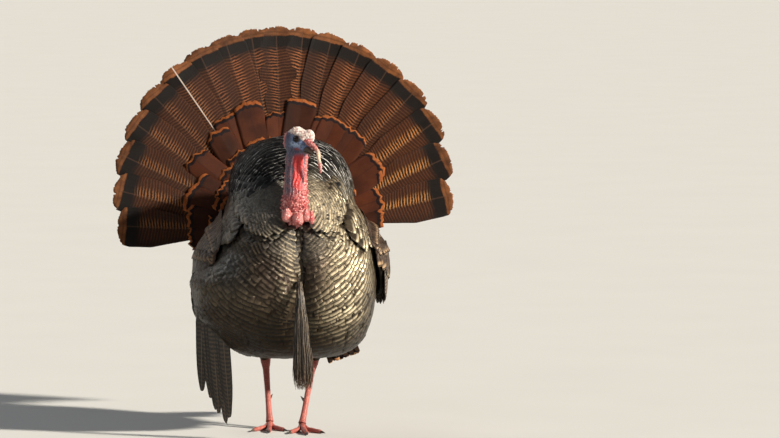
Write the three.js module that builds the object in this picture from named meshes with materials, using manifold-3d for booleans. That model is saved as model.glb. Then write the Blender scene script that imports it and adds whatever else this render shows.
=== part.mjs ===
// A strutting wild turkey gobbler, life size, as a still model.
// Millimetres, +Z up. The bird faces -Y, so +X is its own left side. The floor is z = 0.
import * as THREE from "three";
import { mergeVertices } from "three/addons/utils/BufferGeometryUtils.js";
import Module from "manifold-3d";

// ---- driving dimensions -------------------------------------------------------------------
const GAP = 0.35; // clearance between a piece and the one it grows from

// Trunk: its outline from the belly up. Each station is [height, half-width, breast y, rump y].
const TRUNK_STATIONS = [
  [166, 0, -15, -15],
  [172, 108, -138, 104],
  [202, 160, -212, 176],
  [250, 184, -256, 216],
  [310, 195, -283, 236],
  [370, 196, -290, 230],
  [430, 189, -271, 211],
  [480, 171, -232, 196],
  [530, 151, -178, 186],
  [580, 146, -134, 170],
  [630, 124, -104, 138],
  [666, 80, -58, 88],
  [683, 0, 6, 6],
];
const TRUNK_RINGS = 28;
const TRUNK_SIDES = 30;
const BREAST_FULLNESS = 2.5; // superellipse exponent of the front half of a section
const RUMP_FULLNESS = 1.95; // and of the rear half
const BREAST_CLEFT = { depth: 15, width: 26, low: 190, high: 520 };

// Neck: [x, y, z, radius] from the breast to the skull.
const NECK_LINE = [
  [-6, -168, 470, 40],
  [-6, -194, 515, 31],
  [-5, -197, 555, 26],
  [-3, -188, 600, 24],
  [0, -178, 640, 24],
  [2, -172, 664, 20],
];

// Head: carried turned to the bird's left and nodding down.
const HEAD_CENTRE = new THREE.Vector3(3, -181, 679);
const HEAD_TURN = 36; // degrees
const HEAD_NOD = 12;
// Each station along the skull is [forward, half-width, crown height, chin depth].
const HEAD_STATIONS = [
  [-35, 0, 0, 0],
  [-30, 12, 15, 18],
  [-17, 18.5, 25, 28],
  [0, 20, 30, 33],
  [13, 19, 31, 33],
  [25, 17, 31, 29],
  [33, 12, 22, 22],
  [38, 0, 0, 0],
];
const BILL_ROOT = 30; // where the bill starts, forward of the head's centre
const BILL_INSIDE = 6; // how far its root goes into the head
const BILL_FLAT = 0.12; // how far each half stands past the flat side that meets the other half
const BILL_UPPER = { way: 1, reach: 40, droop: 4, half: 8.6, height: 8, level: -15.5 };
const BILL_LOWER = { way: -1, reach: 36, droop: 3, half: 7.6, height: 4.5, level: -18.6 };
const EYE_RADIUS = 6.5;
const EYE_PLACE = { forward: 10, side: 14, up: 5 };
const SNOOD_LINE = [
  [17, -201, 680, 6],
  [24, -210, 674, 6],
  [34, -221, 666, 5.5],
  [43, -230, 654, 4.5],
  [45, -234, 638, 4],
  [48, -234, 624, 4],
  [50, -233, 606, 2.8],
];

// Caruncles at the base of the neck: [name, x, y, z, radius, half-height].
const CARUNCLES = [
  ["caruncle_right", -26.5, -226, 511, 12.5, 15.5],
  ["caruncle_middle", -2.5, -240, 504, 12.5, 15],
  ["caruncle_left", 16, -238, 512, 8, 16],
  ["caruncle_far_left", 28.5, -231, 507, 7, 16],
];

// Beard: [x, y, z, half-width, half-depth].
const BEARD_LINE = [
  [-3, -272, 364, 6, 6],
  [-3, -292, 345, 7, 7],
  [-2, -302, 310, 10, 8],
  [0, -301, 250, 15, 9],
  [3, -294, 185, 19, 10],
  [5, -288, 145, 17, 8],
  [6, -284, 122, 8, 4],
];

// Tail fan: the feathers spread from one root and are raised nearly upright.
const TAIL_FEATHERS = 18;
const TAIL_ROOT = new THREE.Vector3(0, 216, 440);
const FAN_TILT = 11; // degrees backwards from upright
const FAN_SPREAD = 82.5; // degrees to the outermost shaft, either side
const FAN_ROLL = -4.8; // degrees, towards the bird's right
const FAN_CROWDING = 0.72; // how closely the middle shafts stand, 1 = evenly
const FAN_RADIUS = 398; // circle through the feather tips
const FAN_RISE = 92; // height of that circle's centre over the root
const FAN_BULGE = { most: 14, angle: 48, spread: 22 }; // the tips stand out of the circle on one side
const FEATHER_THICK = 1.7;
const FEATHER_WIDTH = 92;
const FEATHER_START = 38; // bare length from the root to the vane
const FREE_REACH = 185; // from here out the vanes are far enough apart to lie over each other
const TIP_ROUND = 34; // length over which a vane's tip rounds off
const MIDDLE_LIFT = 2.6; // the middle feather lies in front of its neighbours by this much
const SHINGLE_TILT = 5; // degrees about the shaft, so that each vane lies behind the next one in

// Coverts: scalloped sheets in front of the fan and a pad behind it.
const OUTER_COVERTS = { top: 314, side: 222, front: 5, thick: 4, tips: 13 };
const INNER_COVERTS = { top: 205, side: 165, front: 9.5, thick: 5, tips: 10 };
const UNDER_COVERTS = { top: 190, side: 150, front: -22, thick: 17, tips: 9 };
const COVERT_START = 30;

// Wings: a panel on the flank, and the long primaries that come out under it.
// y runs from the shoulder to the rear edge; the panel is `swell` thick at its middle.
const WINGS = [
  { name: "right", side: -1, front: -156, back: 196, top: 486, low: 250, swell: 35 },
  { name: "left", side: 1, front: -156, back: 196, top: 486, low: 288, swell: 32 },
];
const WING_EDGE = { fall: 14, front: 60, back: 70 }; // the top edge falls; the lower one rises at its ends
const WING_GAP = 1.2; // under the panel, over the flank
const WING_HANG = 330; // below this height the panel hangs down instead of following the belly
const WING_INWARD = 0.06; // how far it leans in on the way down
const PRIMARIES = {
  right: { root: [-188, -42, 296], tip: [-160, 44, 9], width: 96, lean: 62 },
  left: { root: [196, 10, 318], tip: [112, 236, 132], width: 88, lean: 22 },
};
const PRIMARY_THICK = 5;

// Legs: [hip inside the belly], hock, ankle and the ground heading of the middle toe.
const LEGS = [
  { name: "right", side: -1, hip: [-66, 40, 240], hock: [-53, 90, 157], ankle: [-49, 12, 22], heading: -5 },
  { name: "left", side: 1, hip: [64, 26, 240], hock: [56, 44, 157], ankle: [22, -40, 22], heading: 3 },
];
const THIGH_RADIUS = 42;
const SHANK_RADIUS = 6.4;
const HOCK_RADIUS = 10;
const TOES = [
  { name: "inner", turn: 33, length: 62, radius: 4.6 },
  { name: "middle", turn: 0, length: 82, radius: 5.2 },
  { name: "outer", turn: -33, length: 66, radius: 4.6 },
  { name: "hind", turn: 170, length: 30, radius: 3.8 },
];
const SOLE_RADIUS = 10; // the flat pad under the ankle
const CLAW_LENGTH = 15;
const SPUR = { length: 24, radius: 5, share: 0.66 }; // share: how far down the shank it stands

// ---- colours ------------------------------------------------------------------------------
function material(color, roughness) {
  return new THREE.MeshStandardMaterial({ color, roughness, metalness: 0 });
}
const BODY = material(0x4a3f33, 0.45);
const WING = material(0x5c4a3b, 0.5);
const QUILLS = material(0x6b5a48, 0.55);
const TAIL = material(0x7a3f1e, 0.55);
const COVERT = material(0x8a3c16, 0.5);
const FACE = material(0xb9c4d6, 0.5);
const RED_SKIN = material(0xc8434a, 0.45);
const BEARD_HAIR = material(0x2c2724, 0.7);
const LEG_SKIN = material(0xc98a7e, 0.55);
const HORN = material(0x3c342e, 0.35);
const EYE = material(0x1a0f0a, 0.08);

// ---- shape helpers ------------------------------------------------------------------------
const degrees = THREE.MathUtils.degToRad;
const vec = (x, y, z) => new THREE.Vector3(x, y, z);
const steps = (n) => Array.from({ length: n + 1 }, (_, i) => i / n);
const clamp01 = (t) => THREE.MathUtils.clamp(t, 0, 1);
const power = (value, exponent) => Math.sign(value) * Math.abs(value) ** exponent;

// Value of a Catmull-Rom curve through rows of numbers, at t from 0 to 1.
// At an end where `mirrored` columns are zero the curve is continued by its mirror image.
function alongRows(rows, t, mirrored = []) {
  const last = rows.length - 1;
  const at = clamp01(t) * last;
  const k = Math.min(Math.floor(at), last - 1);
  const f = at - k;
  const beyond = (i) => {
    if (i >= 0 && i <= last) return rows[i];
    const end = rows[i < 0 ? 0 : last];
    const inner = rows[i < 0 ? 1 : last - 1];
    if (mirrored.length === 0) return inner.map((value, c) => 2 * end[c] - value);
    return inner.map((value, c) => (mirrored.includes(c) ? -value : value));
  };
  const [a, b, c, d] = [beyond(k - 1), beyond(k), beyond(k + 1), beyond(k + 2)];
  return b.map((_, i) => {
    const bend = 2 * a[i] - 5 * b[i] + 4 * c[i] - d[i];
    const twist = 3 * (b[i] - c[i]) + d[i] - a[i];
    return b[i] + 0.5 * f * (c[i] - a[i] + f * (bend + f * twist));
  });
}

// A closed solid through rings of equal point counts; each end is closed by a fan to its middle.
function loft(rings) {
  const sides = rings[0].length;
  const points = rings.flat().map((p) => p.clone());
  const middle = (ring) => ring.reduce((sum, p) => sum.add(p), vec(0, 0, 0)).divideScalar(sides);
  const first = points.push(middle(rings[0])) - 1;
  const last = points.push(middle(rings[rings.length - 1])) - 1;
  const index = [];
  const at = (ring, side) => ring * sides + (side % sides);
  for (let j = 0; j < sides; j += 1) {
    index.push(first, at(0, j + 1), at(0, j));
    for (let i = 0; i < rings.length - 1; i += 1) {
      index.push(at(i, j), at(i, j + 1), at(i + 1, j + 1));
      index.push(at(i, j), at(i + 1, j + 1), at(i + 1, j));
    }
    index.push(last, at(rings.length - 1, j), at(rings.length - 1, j + 1));
  }
  const geometry = new THREE.BufferGeometry().setFromPoints(points).setIndex(index);
  return turnedOut(geometry);
}

// The same surface with its faces pointing outwards.
function turnedOut(geometry) {
  const p = geometry.attributes.position;
  const index = geometry.index.array;
  const [a, b, c] = [vec(0, 0, 0), vec(0, 0, 0), vec(0, 0, 0)];
  let volume = 0;
  for (let i = 0; i < index.length; i += 3) {
    a.fromBufferAttribute(p, index[i]);
    b.fromBufferAttribute(p, index[i + 1]);
    c.fromBufferAttribute(p, index[i + 2]);
    volume += a.dot(b.cross(c));
  }
  if (volume < 0) {
    for (let i = 0; i < index.length; i += 3) {
      [index[i], index[i + 1]] = [index[i + 1], index[i]];
    }
  }
  return geometry;
}

// A tube with an oval section along a list of [x, y, z, half-width, half-depth] rows.
// `across` is the direction of the width; round rows give one radius only.
function ovalTube(rows, rings, sides, grow = 0, across = vec(1, 0, 0)) {
  const centre = (t) => vec(...alongRows(rows, t).slice(0, 3));
  return loft(
    steps(rings).map((t) => {
      const row = alongRows(rows, t);
      const ahead = centre(clamp01(t + 0.01)).sub(centre(clamp01(t - 0.01))).normalize();
      const deep = ahead.clone().cross(across).normalize();
      const wide = deep.clone().cross(ahead).normalize();
      return steps(sides)
        .slice(0, sides)
        .map((s) => {
          const angle = 2 * Math.PI * s;
          return vec(row[0], row[1], row[2])
            .addScaledVector(wide, (row[3] + grow) * Math.cos(angle))
            .addScaledVector(deep, ((row[4] ?? row[3]) + grow) * Math.sin(angle));
        });
    }),
  );
}

const wasm = await Module();
wasm.setup();

function solid(geometry) {
  const bare = new THREE.BufferGeometry();
  bare.setAttribute("position", geometry.attributes.position);
  if (geometry.index) bare.setIndex(geometry.index);
  const merged = mergeVertices(bare, 1e-3);
  return new wasm.Manifold(
    new wasm.Mesh({
      numProp: 3,
      vertProperties: new Float32Array(merged.attributes.position.array),
      triVerts: new Uint32Array(merged.index.array),
    }),
  );
}

function geometryOf(made) {
  const mesh = made.getMesh();
  const geometry = new THREE.BufferGeometry();
  geometry.setAttribute("position", new THREE.BufferAttribute(new Float32Array(mesh.vertProperties), 3));
  geometry.setIndex([...mesh.triVerts]);
  return geometry;
}

// The largest body of `geometry` that is left outside the other shapes.
function cutBy(geometry, ...others) {
  const rest = others.reduce((left, other) => left.subtract(solid(other)), solid(geometry));
  const bodies = rest.decompose().sort((a, b) => b.volume() - a.volume());
  return geometryOf(bodies[0]);
}

function joined(...geometries) {
  return geometryOf(geometries.map(solid).reduce((sum, next) => sum.add(next)));
}

const turkey = new THREE.Group();
turkey.name = "wild_turkey";
function piece(name, geometry, finish) {
  const mesh = new THREE.Mesh(geometry, finish);
  mesh.name = name;
  turkey.add(mesh);
  return mesh;
}

// ---- trunk --------------------------------------------------------------------------------
// Section of the trunk at a share t of its height: a superellipse, fuller in front than behind.
function trunkStation(t, grow = 0) {
  const [z, half, front, back] = alongRows(TRUNK_STATIONS, t, [1]);
  return {
    z: z + grow * (2 * t - 1),
    half: half + grow,
    front: front - grow,
    back: back + grow,
    middle: (front + back) / 2,
  };
}

function cleftDepth(x, z) {
  const { depth, width, low, high } = BREAST_CLEFT;
  const fade = Math.sin(Math.PI * clamp01((z - low) / (high - low)));
  return depth * Math.sqrt(fade) * Math.exp(-((x / width) ** 2));
}

function trunkPoint(t, angle, grow) {
  const s = trunkStation(t, grow);
  const ahead = Math.cos(angle);
  const fullness = ahead > 0 ? BREAST_FULLNESS : RUMP_FULLNESS;
  const x = s.half * power(Math.sin(angle), 2 / fullness);
  const reach = ahead > 0 ? s.middle - s.front : s.back - s.middle;
  const y = s.middle - reach * power(ahead, 2 / fullness);
  return vec(x, y + (ahead > 0 ? cleftDepth(x, s.z) : 0), s.z);
}

function trunkGeometry(grow = 0) {
  const rounded = steps(TRUNK_RINGS).map((t) => t - Math.sin(2 * Math.PI * t) / 22);
  const inner = rounded.slice(1, -1);
  return loft(
    inner.map((t) =>
      steps(TRUNK_SIDES)
        .slice(0, TRUNK_SIDES)
        .map((s) => trunkPoint(t, 2 * Math.PI * s, grow)),
    ),
  );
}
piece("trunk", trunkGeometry(), BODY);
const trunkGrown = trunkGeometry(GAP);

// Half-width of the trunk at a place y, z on its flank.
function flankAt(y, z) {
  let low = 0;
  let high = 1;
  for (let i = 0; i < 30; i += 1) {
    const t = (low + high) / 2;
    if (trunkStation(t).z < z) low = t;
    else high = t;
  }
  const s = trunkStation((low + high) / 2);
  const reach = y < s.middle ? s.middle - s.front : s.back - s.middle;
  const fullness = y < s.middle ? BREAST_FULLNESS : RUMP_FULLNESS;
  const along = Math.min(1, Math.abs((y - s.middle) / reach));
  return s.half * (1 - along ** fullness) ** (1 / fullness);
}

// ---- head ---------------------------------------------------------------------------------
const headFrame = new THREE.Matrix4()
  .makeTranslation(HEAD_CENTRE)
  .multiply(new THREE.Matrix4().makeRotationZ(degrees(HEAD_TURN)))
  .multiply(new THREE.Matrix4().makeRotationX(degrees(HEAD_NOD)));
// In the head's own frame -Y is forward, +X its left and +Z the crown.
const onHead = (side, forward, up) => vec(side, -forward, up).applyMatrix4(headFrame);

function headGeometry(grow = 0) {
  const sides = 14;
  return loft(
    steps(11).slice(1, -1).map((t) => {
      const [forward, half, crown, chin] = alongRows(HEAD_STATIONS, t, [1, 2, 3]);
      return steps(sides)
        .slice(0, sides)
        .map((s) => {
          const angle = 2 * Math.PI * s;
          const up = Math.sin(angle);
          const height = (up > 0 ? crown : chin) + grow;
          return onHead((half + grow) * Math.cos(angle), forward + grow * (2 * t - 1), height * up);
        });
    }),
  );
}

function eyeballGeometry(side, grow = 0) {
  const ball = new THREE.SphereGeometry(EYE_RADIUS + grow, 12, 8);
  const place = onHead(side * EYE_PLACE.side, EYE_PLACE.forward, EYE_PLACE.up);
  return ball.translate(place.x, place.y, place.z);
}

// Upper and lower bill: half ovals that taper and curve down to a point.
function billGeometry({ way, reach, droop, half, height, level }, grow = 0) {
  const sides = 10;
  return loft(
    steps(6).map((t) => {
      const forward = BILL_ROOT - BILL_INSIDE + t * reach;
      const wide = half * (1 - t ** 1.7) + 0.9 + grow;
      const tall = height * (1 - t ** 2.1) + 1 + grow;
      const base = level - droop * t ** 2.4;
      return steps(sides)
        .slice(0, sides)
        .map((s) => {
          const angle = 2 * Math.PI * s;
          const up = Math.max(way * Math.sin(angle), -BILL_FLAT);
          return onHead(wide * Math.cos(angle), forward, base + way * tall * up);
        });
    }),
  );
}

const headGrown = headGeometry(GAP);
const EYES = [["right", -1], ["left", 1]];
const sockets = EYES.map(([, side]) => eyeballGeometry(side, GAP));
piece("head", cutBy(headGeometry(), ...sockets), FACE);
EYES.forEach(([name, side]) => piece("eye_" + name, eyeballGeometry(side), EYE));
const upperGrown = billGeometry(BILL_UPPER, GAP);
const lowerGrown = billGeometry(BILL_LOWER, GAP);
piece("bill_upper", cutBy(billGeometry(BILL_UPPER), headGrown), HORN);
piece("bill_lower", cutBy(billGeometry(BILL_LOWER), headGrown, upperGrown), HORN);
piece("snood", cutBy(ovalTube(SNOOD_LINE, 9, 8), headGrown, upperGrown, lowerGrown), RED_SKIN);

// ---- neck, caruncles and beard ------------------------------------------------------------
const neckTube = (grow) => ovalTube(NECK_LINE, 10, 14, grow);
piece("neck", cutBy(neckTube(0), headGrown, trunkGrown), RED_SKIN);

function caruncleGeometry([, x, y, z, radius, tall], grow = 0) {
  const ball = new THREE.SphereGeometry(1, 10, 7);
  ball.rotateX(Math.PI / 2);
  ball.scale(radius + grow, radius + grow, tall + grow);
  return ball.translate(x, y, z);
}
CARUNCLES.forEach((spec, i) => {
  const earlier = CARUNCLES.slice(0, i).map((other) => caruncleGeometry(other, GAP));
  const hanging = cutBy(caruncleGeometry(spec), neckTube(GAP), trunkGrown, ...earlier);
  piece(spec[0], hanging, RED_SKIN);
});

piece("beard", cutBy(ovalTube(BEARD_LINE, 10, 8), trunkGrown), BEARD_HAIR);

// ---- tail ---------------------------------------------------------------------------------
// The fan's own frame: X across, Y up the fan and Z out of its front face, from the root.
const fanFrame = new THREE.Group();
fanFrame.position.copy(TAIL_ROOT);
fanFrame.rotation.x = Math.PI / 2 - degrees(FAN_TILT);
turkey.add(fanFrame);

function shaftAngle(i) {
  const s = (i - (TAIL_FEATHERS - 1) / 2) / ((TAIL_FEATHERS - 1) / 2);
  return FAN_ROLL + FAN_SPREAD * s * (FAN_CROWDING + (1 - FAN_CROWDING) * Math.abs(s));
}

// Distance from the root to the tips, in a direction off the fan's middle.
function tipReach(angle) {
  const a = degrees(angle);
  const circle = FAN_RISE * Math.cos(a) + Math.sqrt(FAN_RADIUS ** 2 - (FAN_RISE * Math.sin(a)) ** 2);
  return circle + FAN_BULGE.most * Math.exp(-(((angle - FAN_BULGE.angle) / FAN_BULGE.spread) ** 2));
}

// Half-width of a vane at a distance from the root: at first it only fills its share of the angle
// between the shafts, and further out it widens to lie over the next one. The tip is bluntly round.
function vaneHalf(reach, length, share) {
  const full = FEATHER_WIDTH / 2;
  const wide = Math.min(full, share * reach - 0.5 + Math.max(0, reach - FREE_REACH) * 0.11);
  const end = clamp01((length - reach) / TIP_ROUND);
  return Math.max(0.8, wide * (1 - (1 - end) ** 2.6) ** 0.5);
}

function tailFeather(length, share) {
  const stations = steps(8).map((t) => FEATHER_START + (length - FEATHER_START) * (1 - (1 - t) ** 1.8));
  const left = stations.map((r) => new THREE.Vector2(-vaneHalf(r, length, share), r));
  const right = stations.map((r) => new THREE.Vector2(vaneHalf(r, length, share), r)).reverse();
  const outline = new THREE.Shape([...left, ...right]);
  const vane = new THREE.ExtrudeGeometry(outline, { depth: FEATHER_THICK, bevelEnabled: false });
  return vane.translate(0, 0, -FEATHER_THICK / 2);
}

for (let i = 0; i < TAIL_FEATHERS; i += 1) {
  const angle = shaftAngle(i);
  const side = Math.sign(i - TAIL_FEATHERS / 2);
  const crowding = Math.min(angle - shaftAngle(i - 1), shaftAngle(i + 1) - angle);
  const feather = new THREE.Mesh(tailFeather(tipReach(angle), degrees(crowding) / 2), TAIL);
  feather.name = "tail_feather_" + String(i + 1).padStart(2, "0");
  feather.rotation.order = "ZYX";
  feather.rotation.z = -degrees(angle);
  feather.rotation.y = -side * degrees(SHINGLE_TILT);
  feather.position.z = side === 0 ? MIDDLE_LIFT : 0;
  fanFrame.add(feather);
}

// A scalloped sheet of coverts: reach falls from the top of the fan to its sides.
function covertSheet({ top, side, thick, tips }) {
  const from = -FAN_SPREAD + FAN_ROLL - 2;
  const to = FAN_SPREAD + FAN_ROLL + 2;
  const edge = steps(tips * 3).map((s) => {
    const angle = degrees(from + (to - from) * s);
    const reach = side + (top - side) * Math.max(0, Math.cos(angle)) ** 1.3;
    const scallop = 1 - 0.035 * Math.cos(2 * Math.PI * tips * s);
    return new THREE.Vector2(Math.sin(angle), Math.cos(angle)).multiplyScalar(reach * scallop);
  });
  const start = steps(8).map((s) => {
    const angle = degrees(to + (from - to) * s);
    return new THREE.Vector2(Math.sin(angle), Math.cos(angle)).multiplyScalar(COVERT_START);
  });
  const outline = new THREE.Shape([...edge, ...start]);
  return new THREE.ExtrudeGeometry(outline, { depth: thick, bevelEnabled: false });
}

function covertPiece(name, spec, finish) {
  fanFrame.updateWorldMatrix(true, false);
  const sheet = covertSheet(spec).translate(0, 0, spec.front).applyMatrix4(fanFrame.matrixWorld);
  piece(name, cutBy(sheet, trunkGrown), finish);
}
covertPiece("upper_coverts_outer", OUTER_COVERTS, COVERT);
covertPiece("upper_coverts_inner", INNER_COVERTS, COVERT);
covertPiece("under_coverts", UNDER_COVERTS, COVERT);

const tailBase = new THREE.SphereGeometry(1, 12, 8)
  .scale(COVERT_START - 2, COVERT_START - 2, 16)
  .applyMatrix4(fanFrame.matrixWorld);
piece("tail_base", cutBy(tailBase, trunkGrown), BODY);

// ---- wings --------------------------------------------------------------------------------
// Point of a wing panel: s from the shoulder back, t from its top edge down, out over the flank.
function wingPoint(wing, s, t, out) {
  const y = wing.front + (wing.back - wing.front) * s;
  const ends = Math.sin(Math.PI * clamp01(s)) ** (s < 0.5 ? 0.42 : 0.62);
  const shoulder = wing.top - WING_EDGE.fall * s;
  const edge = wing.low + WING_EDGE.front * (1 - s) ** 3 + WING_EDGE.back * s ** 3;
  const middle = 0.55 * shoulder + 0.45 * edge;
  const z = (middle + (shoulder - middle) * ends) * (1 - t) + (middle + (edge - middle) * ends) * t;
  const clinging = flankAt(y, Math.max(z, WING_HANG)) + WING_GAP;
  const hanging = clinging - WING_INWARD * Math.max(0, WING_HANG - z);
  const rise = Math.min(1, t / 0.3) ** 0.7;
  const fall = Math.sqrt(1 - 0.96 * clamp01((t - 0.8) / 0.2) ** 2);
  const length = Math.sin(Math.PI * clamp01(s)) ** 0.6 * (1.05 - 0.3 * s);
  return vec(wing.side * (hanging + out * (2.5 + wing.swell * rise * fall * length)), y, z);
}

// The panel with every face moved outwards, as room for its neighbours to keep clear of.
function wingRoom({ side, front, back, top, low, swell }) {
  const more = 2 * GAP;
  const ends = { front: front - more, back: back + more, top: top + more, low: low - more };
  return wingGeometry({ side, ...ends, swell: swell + more }, more);
}

function wingGeometry(wing, grow = 0) {
  const across = steps(6);
  return loft(
    steps(10).map((s) => {
      const outer = across.map((t) => wingPoint(wing, s, t, 1));
      const inner = across.map((t) => wingPoint(wing, s, t, 0)).reverse();
      inner.forEach((p) => p.setX(p.x - wing.side * grow));
      return [...outer, ...inner];
    }),
  );
}

// The folded primaries: one tapering blade from under the panel to their tips.
function primariesGeometry({ root, tip, width, lean }, side) {
  const from = vec(...root);
  const along = vec(...tip).sub(from);
  const length = along.length();
  const stations = steps(10);
  const half = (t) => (width / 2) * (1 - 0.45 * t) * Math.sqrt(1 - Math.max(0, (t - 0.8) / 0.21) ** 2);
  const front = stations.map((t) => new THREE.Vector2(half(t), -length * t));
  const rear = stations.map((t) => new THREE.Vector2(-half(t), -length * t)).reverse();
  const blade = new THREE.ExtrudeGeometry(new THREE.Shape([...front, ...rear]), {
    depth: PRIMARY_THICK,
    bevelEnabled: false,
  });
  const down = along.clone().normalize();
  const outward = vec(side, 0, 0).applyAxisAngle(vec(0, 0, 1), degrees(-side * lean));
  const fore = down.clone().negate().cross(outward).normalize();
  const normal = fore.clone().cross(down.clone().negate());
  const frame = new THREE.Matrix4().makeBasis(fore, down.clone().negate(), normal).setPosition(from);
  return blade.applyMatrix4(frame);
}

WINGS.forEach((wing) => {
  piece("wing_" + wing.name, cutBy(wingGeometry(wing), trunkGrown), WING);
  const blade = primariesGeometry(PRIMARIES[wing.name], wing.side);
  piece("primaries_" + wing.name, cutBy(blade, wingRoom(wing), trunkGrown), QUILLS);
});

// ---- legs ---------------------------------------------------------------------------------
// A toe: a round-backed strip whose underside is flat on the floor.
function toeGeometry(ankle, heading, { turn, length, radius }, grow = 0) {
  const direction = degrees(heading + turn);
  const ahead = vec(Math.sin(direction), -Math.cos(direction), 0);
  const across = vec(Math.cos(direction), Math.sin(direction), 0);
  const sides = 7;
  return loft(
    steps(4).map((t) => {
      const pads = 1 + 0.12 * Math.cos(t * 6 * Math.PI);
      const r = radius * (1 - 0.25 * t) * pads + grow;
      return steps(sides)
        .slice(0, sides)
        .map((s) => {
          const angle = 2 * Math.PI * s;
          const height = Math.max(0, r * (0.72 + Math.sin(angle)));
          return vec(ankle[0], ankle[1], height)
            .addScaledVector(ahead, length * t)
            .addScaledVector(across, r * Math.cos(angle));
        });
    }),
  );
}

// A claw: a cone that curves down from the end of its toe.
function clawGeometry(ankle, heading, { turn, length, radius }) {
  const direction = degrees(heading + turn);
  const ahead = vec(Math.sin(direction), -Math.cos(direction), 0);
  const across = vec(Math.cos(direction), Math.sin(direction), 0);
  const sides = 6;
  return loft(
    steps(4).map((t) => {
      const r = radius * 0.62 * (1 - 0.85 * t);
      const height = radius * 0.85 * (1 - t) ** 0.8 + 1.1;
      return steps(sides)
        .slice(0, sides)
        .map((s) => {
          const angle = 2 * Math.PI * s;
          return vec(ankle[0], ankle[1], height + r * Math.sin(angle))
            .addScaledVector(ahead, length + GAP + CLAW_LENGTH * t)
            .addScaledVector(across, r * Math.cos(angle));
        });
    }),
  );
}

function solePad(ankle, grow = 0) {
  const profile = [
    new THREE.Vector2(0, 0),
    new THREE.Vector2(SOLE_RADIUS - 1 + grow, 0),
    new THREE.Vector2(SOLE_RADIUS + grow, 4),
    new THREE.Vector2(SHANK_RADIUS + 1.6 + grow, 14),
    new THREE.Vector2(SHANK_RADIUS + 0.8 + grow, 24),
    new THREE.Vector2(0, 24 + grow),
  ];
  return new THREE.LatheGeometry(profile, 12).rotateX(Math.PI / 2).translate(ankle[0], ankle[1], 0);
}

function shankGeometry({ hock, ankle }, grow = 0) {
  const [h, a] = [vec(...hock), vec(...ankle)];
  const rows = [
    [-0.07, HOCK_RADIUS * 0.55],
    [0, HOCK_RADIUS],
    [0.1, SHANK_RADIUS * 1.25],
    [0.35, SHANK_RADIUS],
    [0.8, SHANK_RADIUS],
    [1, SHANK_RADIUS * 1.15],
  ].map(([t, r]) => [...h.clone().lerp(a, t).toArray(), r]);
  return ovalTube(rows, 8, 9, grow);
}

LEGS.forEach((leg) => {
  const { name, side, hip, hock, ankle, heading } = leg;
  const thighRows = [
    [...hip, THIGH_RADIUS],
    [(hip[0] + hock[0]) / 2, (hip[1] + hock[1]) / 2, 205, THIGH_RADIUS * 0.85],
    [hock[0], hock[1] - 8, 178, THIGH_RADIUS * 0.5],
    [hock[0], hock[1], hock[2] + 6, HOCK_RADIUS + 1],
  ];
  const shank = shankGeometry(leg);
  const pad = solePad(ankle);
  piece("thigh_" + name, cutBy(ovalTube(thighRows, 8, 12), trunkGrown, shankGeometry(leg, GAP)), BODY);
  piece("shank_" + name, cutBy(shank, solePad(ankle, GAP), trunkGrown), LEG_SKIN);
  const toes = TOES.map((toe) => toeGeometry(ankle, heading, { ...toe, turn: -side * toe.turn }));
  piece("foot_" + name, joined(pad, ...toes), LEG_SKIN);
  TOES.forEach((toe) => {
    const claw = clawGeometry(ankle, heading, { ...toe, turn: -side * toe.turn });
    piece("claw_" + toe.name + "_" + name, claw, HORN);
  });
  const root = vec(...hock).lerp(vec(...ankle), SPUR.share);
  const spurRadius = (t) => SPUR.radius * Math.sqrt(1 - t) * (1 - 0.3 * t);
  const profile = steps(6).map((t) => new THREE.Vector2(spurRadius(t), SPUR.length * t));
  const spur = new THREE.LatheGeometry([new THREE.Vector2(0, 0), ...profile], 8);
  const aim = vec(-side * 0.45, 0.8, 0.22).normalize();
  spur.applyQuaternion(new THREE.Quaternion().setFromUnitVectors(vec(0, 1, 0), aim));
  spur.translate(root.x, root.y, root.z);
  piece("spur_" + name, cutBy(spur, shankGeometry(leg, GAP)), HORN);
});

export default turkey;
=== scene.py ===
import bpy
import numpy as np
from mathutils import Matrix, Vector


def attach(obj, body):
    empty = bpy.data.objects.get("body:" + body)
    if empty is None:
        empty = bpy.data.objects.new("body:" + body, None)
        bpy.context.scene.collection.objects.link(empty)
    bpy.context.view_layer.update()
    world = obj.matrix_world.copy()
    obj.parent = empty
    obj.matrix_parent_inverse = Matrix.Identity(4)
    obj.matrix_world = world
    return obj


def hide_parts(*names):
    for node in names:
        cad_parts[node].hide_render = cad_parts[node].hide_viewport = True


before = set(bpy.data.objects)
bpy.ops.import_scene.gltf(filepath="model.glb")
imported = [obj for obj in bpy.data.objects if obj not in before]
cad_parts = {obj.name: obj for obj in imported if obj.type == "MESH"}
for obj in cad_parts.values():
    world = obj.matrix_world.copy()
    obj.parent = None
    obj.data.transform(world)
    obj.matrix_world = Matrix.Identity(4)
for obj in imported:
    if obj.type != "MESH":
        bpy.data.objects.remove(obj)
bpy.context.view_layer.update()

# ---- driving dimensions -------------------------------------------------------------------
COAT_DEPTH = 0.011  # from the skin to the outline that the feather tips make
MARKED_LENGTH = 0.4  # metres that a long feather's length mark of 1 stands for
FAN_MAP_LENGTH = 0.5  # metres from the tip of a tail feather at which its Vane map's v is 0

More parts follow.
